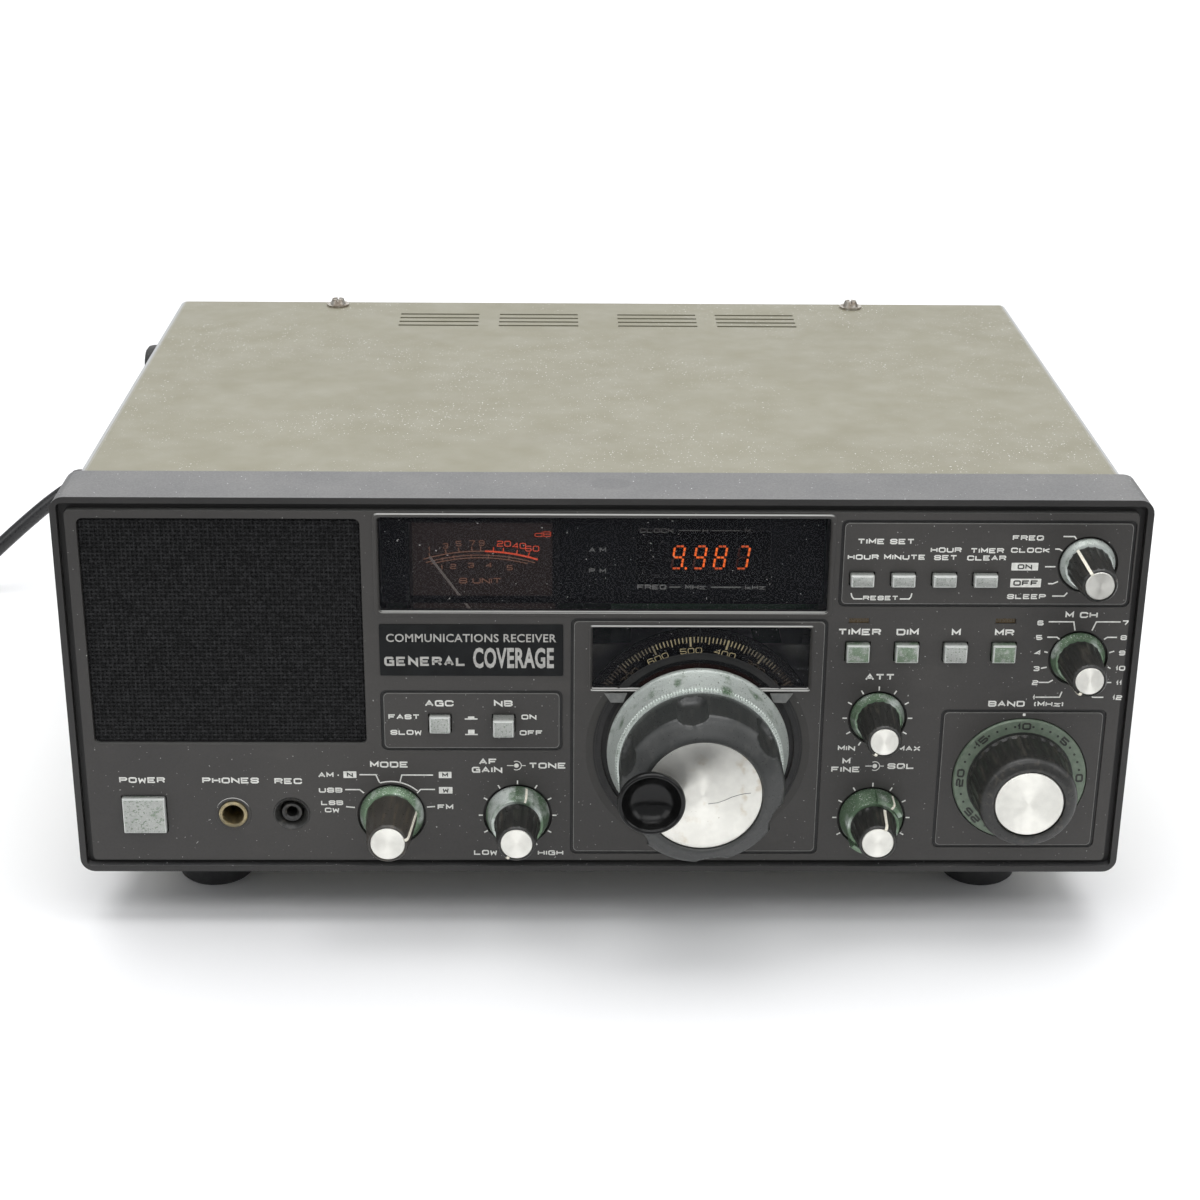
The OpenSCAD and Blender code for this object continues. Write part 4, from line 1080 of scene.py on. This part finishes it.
def shared_axis_mark(bm, place, x, z):
    """The mark between two legends of one pair of knobs: a dot in a ring, with a line to each side."""
    dot = [(0, 0), (0.75, 0), (0.75, INK_HIGH), (0, INK_HIGH)]
    turned(bm, place @ Matrix.Translation((x, z, 0)), dot, 16)
    stroke(bm, place, arc(1.55, -30, 210, 16, (x, z)), 0.25, 0, INK_HIGH)
    stroke(bm, place, [(x - 3.0, z), (x - 0.9, z)], 0.25, 0, INK_HIGH)
    stroke(bm, place, [(x + 1.6, z), (x + 2.9, z)], 0.25, 0, INK_HIGH)


# ---- Display and meter --------------------------------------------------------------------------

DIGITS = [(23.2, "9"), (29.9, "9"), (36.2, "8"), (43.2, "7")]
SEGMENTS = {"9": "abcfg", "8": "abcefg", "7": "bc"}
WEAK_SEGMENTS = {"9": "d", "8": "d", "7": "ad"}
DIGIT_W, DIGIT_H, DIGIT_LEAN = 3.1, 7.3, 0.14
DIGIT_Z = 106.0


def segment_ends():
    w, h = DIGIT_W / 2, DIGIT_H / 2
    gap = 0.28
    return {
        "a": ((-w + gap, h), (w - gap, h)), "g": ((-w + gap, 0), (w - gap, 0)),
        "d": ((-w + gap, -h), (w - gap, -h)),
        "f": ((-w, h - gap), (-w, gap)), "b": ((w, h - gap), (w, gap)),
        "e": ((-w, -gap), (-w, -h + gap)), "c": ((w, -gap), (w, -h + gap)),
    }


def make_digits():
    """The display's digits, each bar in two short strokes, with the unlit bars faintly there."""
    bm = bmesh.new()
    out = stands_out("display_tube") + 0.05
    place = on_panel()
    for x, digit in DIGITS:
        for name, (start, end) in segment_ends().items():
            tone = 0 if name in SEGMENTS[digit] else 1
            if name in WEAK_SEGMENTS[digit] or name == "a":
                tone = 3
            for low, high in ((0.06, 0.46), (0.54, 0.94)):
                ends = []
                for share in (low, high):
                    u = start[0] + (end[0] - start[0]) * share
                    v = start[1] + (end[1] - start[1]) * share
                    ends.append((x + u + DIGIT_LEAN * v, DIGIT_Z + v))
                stroke(bm, place, ends, 0.62, out, out + 0.06, tone)
    slab(bm, place, 0.75, 0.75, out, out + 0.06, 0.3, 0, (25.6, DIGIT_Z - DIGIT_H / 2))
    slab(bm, place, 40, 12.2, out - 0.04, out - 0.01, 0.5, 2, (31.0, 105.4))
    finished("display_digits", bm, ["digit_glow", "digit_dim", "tube_glass", "digit_weak"])


def make_display_mask():
    """The black plate behind the window, open in front of the meter and the display tube."""
    middle, height = spot_of("display_window")
    place = on_panel(middle, height)
    bm = bmesh.new()
    openings = [(-60.4 - middle, -15.6 - middle), (10.2 - middle, 51.7 - middle)]
    edges = [-68.5] + [x for pair in openings for x in pair] + [68.5]
    for left, right in zip(edges[::2], edges[1::2]):
        slab(bm, place, right - left, 31, -7.6, -7.2, 0.1, 0, ((left + right) / 2, 0))
    for (left, right), tall in zip(openings, (2.4, 6.4)):
        for edge in (-1, 1):
            spot = ((left + right) / 2, edge * (15.5 - tall / 2))
            slab(bm, place, right - left + 1, tall, -7.6, -7.25, 0.1, 0, spot)
    finished("display_mask", bm, ["mask_black"])


def make_window_printing():
    # Printing on the back of the window, which glows as painted light.
    bm = bmesh.new()
    place = on_panel()
    back = (FACE_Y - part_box("display_window")[1].y) / MM - 0.12
    for text, x, z, tall in (
        ("CLOCK", 16.2, 116.7, 1.45), ("H", 31.0, 116.7, 1.3), ("M", 43.9, 116.7, 1.3),
        ("FREQ", 15.0, 98.1, 1.55), ("MHz", 28.4, 98.1, 1.45), ("kHz", 46.8, 98.1, 1.45),
        ("A M", -1.8, 110.3, 1.5), ("P M", -1.8, 103.4, 1.5),
    ):
        letters(bm, place, text, x, z, tall, 1.1, back, 0 if z < 116 else 1, weight=0.18, thick=0.05)
    for left, right, z, width, tone in (
        (22.9, 29.4, 116.7, 0.25, 1), (33.0, 41.6, 116.7, 0.25, 1), (20.3, 23.7, 98.1, 0.3, 0),
        (33.2, 42.5, 98.1, 0.3, 0),
    ):
        stroke(bm, place, [(left, z), (right, z)], width, back, back + 0.05, tone)
    finished("window_printing", bm, ["window_ink", "window_dim"])


SCALE_MIDDLE = (-38.0, 46.9)
SCALE_R = 58.6
RED_FROM = -36.7
METER_FIGURES = [
    ("1", -53.9, 106.2, 1.7, 0.9, 0, 0.12), ("3", -48.8, 107.2, 1.7, 0.9, 0, 0.12),
    ("5", -44.7, 108.0, 1.7, 0.9, 0, 0.12), ("7", -40.6, 108.2, 1.7, 0.9, 0, 0.12),
    ("9", -37.6, 108.2, 1.7, 0.9, 0, 0.12), ("1", -50.1, 100.1, 1.6, 1.0, 0, 0.14),
    ("2", -46.5, 100.4, 1.6, 1.0, 0, 0.14), ("3", -41.0, 100.8, 1.6, 1.0, 0, 0.14),
    ("4", -35.4, 100.8, 1.6, 1.0, 0, 0.14), ("5", -28.9, 100.0, 1.6, 1.0, 0, 0.14),
    ("20", -30.7, 108.0, 1.9, 0.9, 1, 0.13), ("40", -26.0, 107.3, 1.9, 0.9, 1, 0.13),
    ("60", -21.9, 106.4, 1.9, 0.9, 1, 0.13), ("dB", -18.6, 111.2, 1.7, 1.3, 1, 0.10),
    ("S UNIT", -38.2, 95.6, 1.8, 1.25, 0, 0.15),
]


def scale_point(x, radius):
    """The angle, clockwise from the top, of a scale mark at x."""
    return math.degrees(math.asin((x - SCALE_MIDDLE[0]) / radius))


def make_meter_printing():
    """The meter's arcs, marks and figures on its brown scale."""
    bm = bmesh.new()
    place = on_panel()
    out = stands_out("meter_scale") + 0.03
    top = out + 0.04
    for radius, left, right, width, tone in (
        (SCALE_R, -55.7, -36.8, 0.26, 0), (SCALE_R, -36.6, -20.2, 0.55, 1),
        (SCALE_R - 1.3, -55.0, -21.0, 0.22, 0), (SCALE_R - 2.2, -53.5, -23.4, 0.22, 0),
    ):
        ends = scale_point(left, radius), scale_point(right, radius)
        stroke(bm, place, arc(radius, *ends, 20, SCALE_MIDDLE), width, out, top, tone)
    for x in (-53.6, -48.6, -44.6, -40.6, -37.9, -34.0, -31.0, -26.8, -23.2):
        angle = scale_point(x, SCALE_R)
        spoke(bm, place, SCALE_MIDDLE, angle, SCALE_R, SCALE_R + 1.5, 0.28, out, top, int(x > RED_FROM))
    for x in (-50.1, -46.5, -41.0, -35.4, -28.9):
        angle = scale_point(x, SCALE_R)
        spoke(bm, place, SCALE_MIDDLE, angle, SCALE_R - 2.2, SCALE_R - 0.9, 0.22, out, top)
    for text, x, z, tall, wide, tone, weight in METER_FIGURES:
        letters(bm, place, text, x, z, tall, wide, out, tone, weight=weight, thick=0.04)
    finished("meter_printing", bm, ["scale_brown", "scale_red"])


# ---- Tuning dial --------------------------------------------------------------------------------

DIAL_PER_100 = 19.8
DIAL_AT_REST = 477.0


def dial_angle(value):
    """Where a dial value stands at rest, in degrees clockwise from the top."""
    return (DIAL_AT_REST - value) / 100 * DIAL_PER_100


def make_dial_printing():
    """Marks and figures of the dial, which turn with it."""
    bm = bmesh.new()
    middle = spot_of("dial_disc")
    place = on_panel(*middle)
    out = stands_out("dial_disc") + 0.02
    top = out + 0.05
    for value in range(0, 1000, 10):
        angle = dial_angle(value)
        if abs(angle) > 89.1:
            continue
        inner, width = (32.4, 0.62) if value % 100 == 0 else (33.2 if value % 50 == 0 else 33.8, 0.34)
        # Painted shade: marks glow dimmer the further they sit from the top, and figures past 30 degrees
        # take the dimmest tone.
        tone = (abs(angle) >= 24) + (abs(angle) >= 44)
        spoke(bm, place, (0, 0), angle, inner, 35.7, width, out, top, tone)
        if value % 100 == 0 and abs(angle) <= 80:
            tone = 0 if abs(angle) < 30 else 2
            letters(bm, place, str(value), *polar(31.0, angle), 1.9, 0.95, out, tone, angle, 0.13, 0.05)
    finished("dial_marks", bm, ["dial_yellow", "dial_fading", "dial_dim"], body="dial")


def make_dial_mask():
    """A fixed dim brown band under the marks, and the pointer line in front of them."""
    bm = bmesh.new()
    middle = spot_of("dial_disc")
    place = on_panel(*middle)
    out = stands_out("dial_disc") + 0.5
    ring = [(24, out), (28.7, out), (28.7, out + 0.3), (24, out + 0.3), (24, out)]
    turned(bm, place, ring, 48, span=math.radians(130), start=math.radians(-65))
    low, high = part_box("dial_window")
    pointer = [(0, (low.z - BASE_Z) / MM - middle[1] + 3), (0, (high.z - BASE_Z) / MM - middle[1] - 0.4)]
    stroke(bm, place, pointer, 0.22, out + 2.6, out + 2.7, 1)
    finished("dial_band", bm, ["dial_brown", "dim_ink"])


def make_well_marks():
    """Two grey notches at the top of the tuning well, and the dark rings inside it."""
    middle = on_panel(*spot_of("tuning_skirt"))
    bm = bmesh.new()
    for inner, outer, deep in ((28.9, 30.5, -1.95), (30.7, 32.4, -0.75), (32.55, 33.1, -0.55)):
        ring = [(inner, deep), (outer, deep), (outer, deep + 0.08), (inner, deep + 0.08), (inner, deep)]
        turned(bm, middle, ring, 128)
    finished("well_rings", bm, ["well_shade"])
    bm = bmesh.new()
    for side in (-1, 1):
        x = 30.15 + side * 26.1
        place = on_panel(x, 61.9)
        points = [(-3.4 * side, 1.4), (3.1 * side, 1.4), (1.2 * side, -1.4), (-2.2 * side, -1.4)]
        rim = [(u * 1.12, v * 1.16) for u, v in points]
        lofted(bm, place, [(rim, -0.2), (rim, 0.08)])
        lofted(bm, place, [(points, -0.2), (points, 0.16)], 1)
    finished("well_notches", bm, ["notch_edge", "notch_grey"])


# ---- Knobs --------------------------------------------------------------------------------------

def ribs(count, depth, low, high):
    """Radius function for shallow upright ribs between two heights."""
    def shape(angle, radius, out):
        if not low <= out <= high:
            return radius
        return radius - depth * (0.5 + 0.5 * math.cos(count * angle)) ** 0.6
    return shape


def pointer_line(bm, place, angle, points, width, finish):
    """A raised line that follows (radius, out) points along a knob at one angle, in degrees."""
    a = math.radians(angle)
    way = Vector((math.sin(a), math.cos(a), 0))
    across = Vector((math.cos(a), -math.sin(a), 0)) * width / 2
    rings = []
    for i, (radius, out) in enumerate(points):
        before, after = points[max(i - 1, 0)], points[min(i + 1, len(points) - 1)]
        along = Vector((after[0] - before[0], after[1] - before[1])).normalized()
        lift = (way * along.y + Vector((0, 0, -along.x))) * 0.14
        base = way * radius + Vector((0, 0, out))
        corners = (across - lift, across + lift, -across + lift, -across - lift)
        rings.append([bm.verts.new(place @ (base + corner)) for corner in corners])
    for a_ring, b_ring in zip(rings, rings[1:]):
        for j in range(4):
            n = (j + 1) % 4
            bm.faces.new((a_ring[j], a_ring[n], b_ring[n], b_ring[j])).material_index = finish
    bm.faces.new(rings[0]).material_index = finish
    bm.faces.new(rings[-1]).material_index = finish


def facets(count, low, high):
    """Radius function that flattens a round barrel into broad upright faces between two heights."""
    half = math.pi / count

    def shape(angle, radius, out):
        if not low <= out <= high:
            return radius
        off = (angle + half) % (2 * half) - half
        return radius * math.cos(half) / math.cos(off) * 1.008
    return shape


SMALL_GRIP, TWIN_GRIP, MODE_GRIP = (6.8, 5.5), (7.1, 6.1), (8.1, 6.5)


def small_knob(node, grip, base, skirt, pointer, metal="skirt_alloy", broad=0):
    """A black tapered barrel with a spun silver cap and a pale pointer, some on a metal skirt gone green."""
    place = on_panel(*spot_of(node))
    out = stands_out(node)
    foot, tip = grip
    tall = out - base
    bm = bmesh.new()
    barrel = [
        (0, base - 0.6), (foot + 0.2, base - 0.6), (foot + 0.25, base), (foot, base + 0.8),
        (foot - 0.25, base + 0.2 * tall), (tip + 0.1, out - 1.3), (tip - 0.12, out - 0.6),
        (tip - 0.5, out - 0.15), (tip - 0.95, out - 0.2), (tip - 1.05, out - 0.7), (0, out - 0.7),
    ]
    shape = facets(broad, base + 0.5, out - 1.0) if broad else ribs(18, 0.34, base + 0.5, out - 1.0)
    turned(bm, place, barrel, 112 if broad else 108, shape)
    cap = tip - 1.05
    disc = [(0, out - 0.8), (cap, out - 0.8), (cap, out - 0.3), (cap - 0.2, out - 0.08), (0, out - 0.1)]
    end_disc(bm, place, disc, 64)
    if skirt:
        profile = [
            (0, -1.0), (skirt - 0.3, -1.0), (skirt, -0.6), (skirt - 0.1, 0.2), (skirt - 0.9, 1.2),
            (foot + 0.5, 2.1), (foot + 0.2, 2.2), (0, 2.2),
        ]
        turned(bm, place, profile, 288, knurl(72, 0.07, -0.2, 1.5), 2)
    track = [
        (foot + 0.2, base + 0.8), (foot - 0.1, base + 0.2 * tall), (tip + 0.2, out - 1.4),
        (tip - 0.05, out - 0.6), (tip - 0.45, out - 0.05), (tip - 1.0, out - 0.05),
    ]
    pointer_line(bm, place, pointer, track, 0.9, 3)
    finishes = ["knob_brown" if broad else "knob_plastic", "cap_silver", metal, "pale_line"]
    finished(node + "_look", bm, finishes, [node], node)


def end_disc(bm, place, profile, steps=96):
    """A disc or ring on the face of a knob, in its second finish."""
    turned(bm, place, profile, steps, finish=1)


def knurl(count, depth, low, high):
    """Radius function for fine square teeth between two heights."""
    def shape(angle, radius, out):
        return radius - depth * (math.sin(count * angle + 0.01) > 0) if low <= out <= high else radius
    return shape


LUG_TOP = 7.2
KNOB_OF_RING = {"tone_ring": "gain_knob", "squelch_ring": "fine_knob"}


def lever_ring(node, tabs, metal):
    """A tapered ring with raised lugs, each (from angle, to angle, marked or not), in degrees."""
    place = on_panel(*spot_of(KNOB_OF_RING[node]))
    top = stands_out(node) - 0.6
    bm = bmesh.new()
    profile = [
        (6.4, -1.0), (9.8, -1.0), (10.15, -0.5), (10.0, 0.7), (9.6, 1.5), (8.5, top - 0.5), (8.2, top),
        (6.4, top), (6.4, -1.0),
    ]
    turned(bm, place, profile, 96)
    for start, end, marked in tabs:
        span = math.radians(end - start)
        block = [
            (8.05, 0.4), (10.05, 0.4), (10.2, 1.2), (10.1, LUG_TOP - 0.9), (9.75, LUG_TOP), (8.5, LUG_TOP),
            (8.05, LUG_TOP - 0.6), (8.05, 0.4),
        ]
        steps = max(3, int((end - start) / 4))
        rings = turned(bm, place, block, steps, span=span, start=math.radians(start))
        for k in (0, -1):
            bm.faces.new([ring[k] for ring in rings[:-1]])
        if marked:
            line = [(10.22, 0.9), (10.15, LUG_TOP - 0.9), (9.8, LUG_TOP + 0.02), (8.5, LUG_TOP + 0.02)]
            pointer_line(bm, place, (start + end) / 2 + 3, line, 0.7, 1)
    bmesh.ops.remove_doubles(bm, verts=bm.verts, dist=1e-7)
    finished(node + "_look", bm, [metal, "pale_line"], [node], node)


def make_small_knobs():
    small_knob("function_knob", SMALL_GRIP, 1.6, 8.5, -36, "bright_patina")
    small_knob("channel_knob", SMALL_GRIP, 1.6, 8.5, -148)
    small_knob("attenuator_knob", SMALL_GRIP, 1.6, 8.5, -150)
    small_knob("mode_knob", MODE_GRIP, 1.6, 10.2, 75, broad=14)
    base = stands_out("tone_ring")
    small_knob("gain_knob", TWIN_GRIP, base, None, -150)
    small_knob("fine_knob", TWIN_GRIP, base, None, 25)
    lever_ring("tone_ring", [(-3, 30, True)], "ring_metal")
    lever_ring("squelch_ring", [(5, 65, True), (-160, -136, False)], "green_patina")


BAND_PER_UNIT = 8.75


def make_band_knob():
    place = on_panel(*spot_of("band_knob"))
    out = stands_out("band_knob")
    bm = bmesh.new()
    profile = [
        (0, 0.9), (16.25, 0.9), (16.4, 1.6), (16.0, 2.4), (15.7, out - 4.4), (15.45, out - 2.6),
        (15.0, out - 1.5), (14.2, out - 0.7), (12.6, out - 0.1), (11.8, out), (11.3, out - 0.2),
        (11.15, out - 1.0), (0, out - 1.0),
    ]
    turned(bm, place, profile, 192, ribs(32, 0.30, 2.0, out - 2.7))
    disc = [(0, out - 1.1), (10.85, out - 1.1), (10.85, out - 0.6), (10.6, out - 0.35), (0, out - 0.4)]
    end_disc(bm, place, disc)
    finishes = ["knob_plastic", "cap_silver"]
    finished("band_knob_look", bm, finishes, ["band_knob"], "band_knob")
    bm = bmesh.new()
    profile = [(0, -1.4), (21.1, -1.4), (21.2, -1.0), (21.2, 0.2), (20.8, 0.75), (0, 0.8)]
    turned(bm, place, profile, 128)
    end_disc(bm, place, [(16.3, 0.75), (16.3, 0.86), (16.9, 0.86), (16.9, 0.75), (16.3, 0.75)])
    for value in range(30):
        angle = BAND_PER_UNIT * (10 - value)
        spot = polar(19.0, angle)
        if value % 5 == 0:
            letters(bm, place, str(value), *spot, 2.4, 0.95, 0.8, 1, angle, 0.24)
        else:
            slab(bm, place, 0.75, 0.75, 0.8, 0.86, 0.36, 1, spot)
    finished("band_dial_look", bm, ["dial_green", "dark_ink"], ["band_dial"], "band_knob")


def make_tuning_skirt():
    place = on_panel(*spot_of("tuning_skirt"))
    top = stands_out("tuning_skirt")
    bm = bmesh.new()
    profile = [
        (0, 0.5), (27.6, 0.5), (28.6, 1.0), (28.7, 1.8), (28.4, 2.5), (27.9, 3.2), (26.7, top - 2.6),
        (26.35, top - 1.5), (26.35, top - 1.2), (26.0, top - 0.1), (25.6, top), (24.6, top + 0.05),
        (24.4, top - 1.5), (0, top - 1.5),
    ]
    turned(bm, place, profile, 680, knurl(170, 0.45, top - 1.3, top + 0.02))
    finished("tuning_skirt_look", bm, ["bright_patina"], ["tuning_skirt"], "tuning_knob")


FLUTES = 6
FLUTE_TURN = -8.0
FLUTE_HALF = 11.0
GRIP_R = 25.2


def make_tuning_knob():
    """The dark grip with its thumb flutes and sloping rim, and the stained silver disc."""
    place = on_panel(*spot_of("tuning_skirt"))
    out = stands_out("tuning_knob")
    base = stands_out("tuning_skirt") - 0.4
    flute_from = base + 2.6

    def fluted(angle, radius, height):
        if radius < 21.0:
            return radius
        pitch = 360 / FLUTES
        off = (math.degrees(angle) - FLUTE_TURN + pitch / 2) % pitch - pitch / 2
        start = min(1.0, max(0.0, (height - flute_from) / 4.5))
        half = FLUTE_HALF * math.sqrt(max(0.0, 1 - (1 - start) ** 2))
        if abs(off) >= half or half < 0.5:
            return radius
        floor = GRIP_R - 2.3 * math.sqrt(1 - (off / half) ** 2) * (half / FLUTE_HALF)
        return min(radius, floor)

    bm = bmesh.new()
    profile = [(0, base - 6), (23.3, base - 6), (23.3, base), (GRIP_R - 0.5, base + 0.2)]
    profile += [(GRIP_R, base + 0.6 + (out - 5.6 - base) * k / 24) for k in range(25)]
    profile += [
        (24.9, out - 4.5), (24.4, out - 3.9), (23.6, out - 3.2), (22.8, out - 2.6), (21.8, out - 1.9),
        (20.8, out - 1.2), (19.7, out - 0.4), (19.0, out - 0.05), (18.4, out), (18.15, out - 0.3),
        (18.1, out - 0.9), (0, out - 0.9),
    ]
    turned(bm, place, profile, 360, fluted)
    disc = [(0, out - 1.0), (17.9, out - 1.0), (17.9, out - 0.6), (17.7, out - 0.5), (0, out - 0.5)]
    end_disc(bm, place, disc)
    crack = [(1.5, -2.6), (4.4, -2.2), (6.7, -1.3), (8.6, -0.3), (10.6, 0.4), (12.6, 0.9), (14.4, 1.1)]
    stroke(bm, place, crack, 0.16, out - 0.52, out - 0.47, 2)
    finishes = ["knob_grey", "disc_silver", "dark_ink"]
    finished("tuning_knob_look", bm, finishes, ["tuning_knob"], "tuning_knob", smooth=40)


def make_finger_knob():
    place = on_panel(*spot_of("finger_knob"))
    out = stands_out("finger_knob")
    low = stands_out("tuning_knob") - 1.0
    bm = bmesh.new()
    profile = [
        (0, low - 4), (1.5, low - 4), (1.5, low + 0.5), (1.9, low + 0.6), (1.9, low + 1.4),
        (4.0, low + 1.6), (5.8, low + 2.4), (7.6, low + 3.9), (9.3, out - 3.4), (10.1, out - 2.3),
        (10.3, out - 1.4), (10.2, out - 0.6), (9.9, out - 0.12), (9.5, out), (9.1, out - 0.12),
        (8.7, out - 0.8), (8.0, out - 2.4), (6.8, out - 4.0), (5.0, out - 5.2), (2.6, out - 5.9),
        (0, out - 6.1),
    ]
    turned(bm, place, profile, 96)
    node = "finger_knob"
    finished(node + "_look", bm, ["gloss_black"], [node], node, smooth=60)


# ---- Buttons and sockets ------------------------------------------------------------------------

def make_button(node, finish):
    """A plated cap with raised edges and a slightly dished face, on its square stem."""
    x, z = spot_of(node)
    width, height = size_of(node)
    out = stands_out(node)
    place = on_panel(x, z)
    low = -3.0
    steps = (
        (0.4, 0.3, low), (0, 0.35, low + 0.4), (0, 0.35, out - 0.65), (0.5, 0.35, out - 0.12),
        (0.9, 0.3, out), (1.5, 0.3, out - 0.12),
    )
    bm = bmesh.new()
    lofted(bm, place, [(rounded(width - less, height - less, r, 3), at) for less, r, at in steps])
    slab(bm, place, 3.0, 3.0, -15.0, low + 0.1, 0.2)
    finished(node + "_cap", bm, [finish], [node], node, smooth=30)


def make_buttons():
    for name, finish in (
        ("power", "power"), ("agc", "button"), ("blanker", "button"), ("hour", "clean"), ("minute", "clean"),
        ("set", "clean"), ("clear", "clean"), ("timer", "green"), ("dim", "green"), ("memory", "button"),
        ("recall", "green"),
    ):
        make_button(name + "_button", finish + "_plate")


def make_jacks():
    place = on_panel(*spot_of("phones_jack"))
    bm = bmesh.new()
    profile = [
        (3.2, -33), (3.2, 0.2), (3.5, 0.75), (4.0, 0.95), (4.5, 0.6), (4.7, -0.2), (4.7, -10), (7, -10),
        (7, -36), (0, -36), (0, -33), (3.2, -33),
    ]
    turned(bm, place, profile, 64)
    finished("phones_socket", bm, ["brass"], ["phones_jack"])
    place = on_panel(*spot_of("record_jack"))
    bm = bmesh.new()
    profile = [
        (1.8, -18), (1.8, -1.6), (2.3, -1.1), (3.1, -1.0), (3.3, -1.4), (3.3, -8), (5, -8), (5, -22),
        (0, -22), (0, -18), (1.8, -18),
    ]
    turned(bm, place, profile, 48)
    turned(bm, place, [(3.6, -3), (5.6, -3), (5.7, 0.2), (5.3, 0.32), (4.2, -0.9), (3.6, -3)], 64)
    finished("record_socket", bm, ["knob_plastic"], ["record_jack"])
    bm = bmesh.new()
    place = on_panel(*spot_of("phones_jack"))
    turned(bm, place, [(4.75, -2), (4.75, 0.12), (5.6, 0.2), (5.9, -0.2), (5.9, -2), (4.75, -2)], 64)
    finished("phones_ring", bm, ["panel_plastic"])


# ---- Build --------------------------------------------------------------------------------------

make_camera()
MATERIALS = make_materials()
mains_flex = make_cord()
strain_relief = make_strain_relief()
plug_pieces = make_plug()
make_coil_tie()

make_studio()
make_floor()
make_dark_card()

dress_cad_nodes()
make_grille()
make_nameplate()
make_frame_lines()
make_display_surround()
make_legends()
make_digits()
make_display_mask()
make_window_printing()
make_meter_printing()
make_dial_printing()
make_dial_mask()
make_well_marks()
make_small_knobs()
make_band_knob()
make_tuning_skirt()
make_tuning_knob()
make_finger_knob()
make_buttons()
make_jacks()
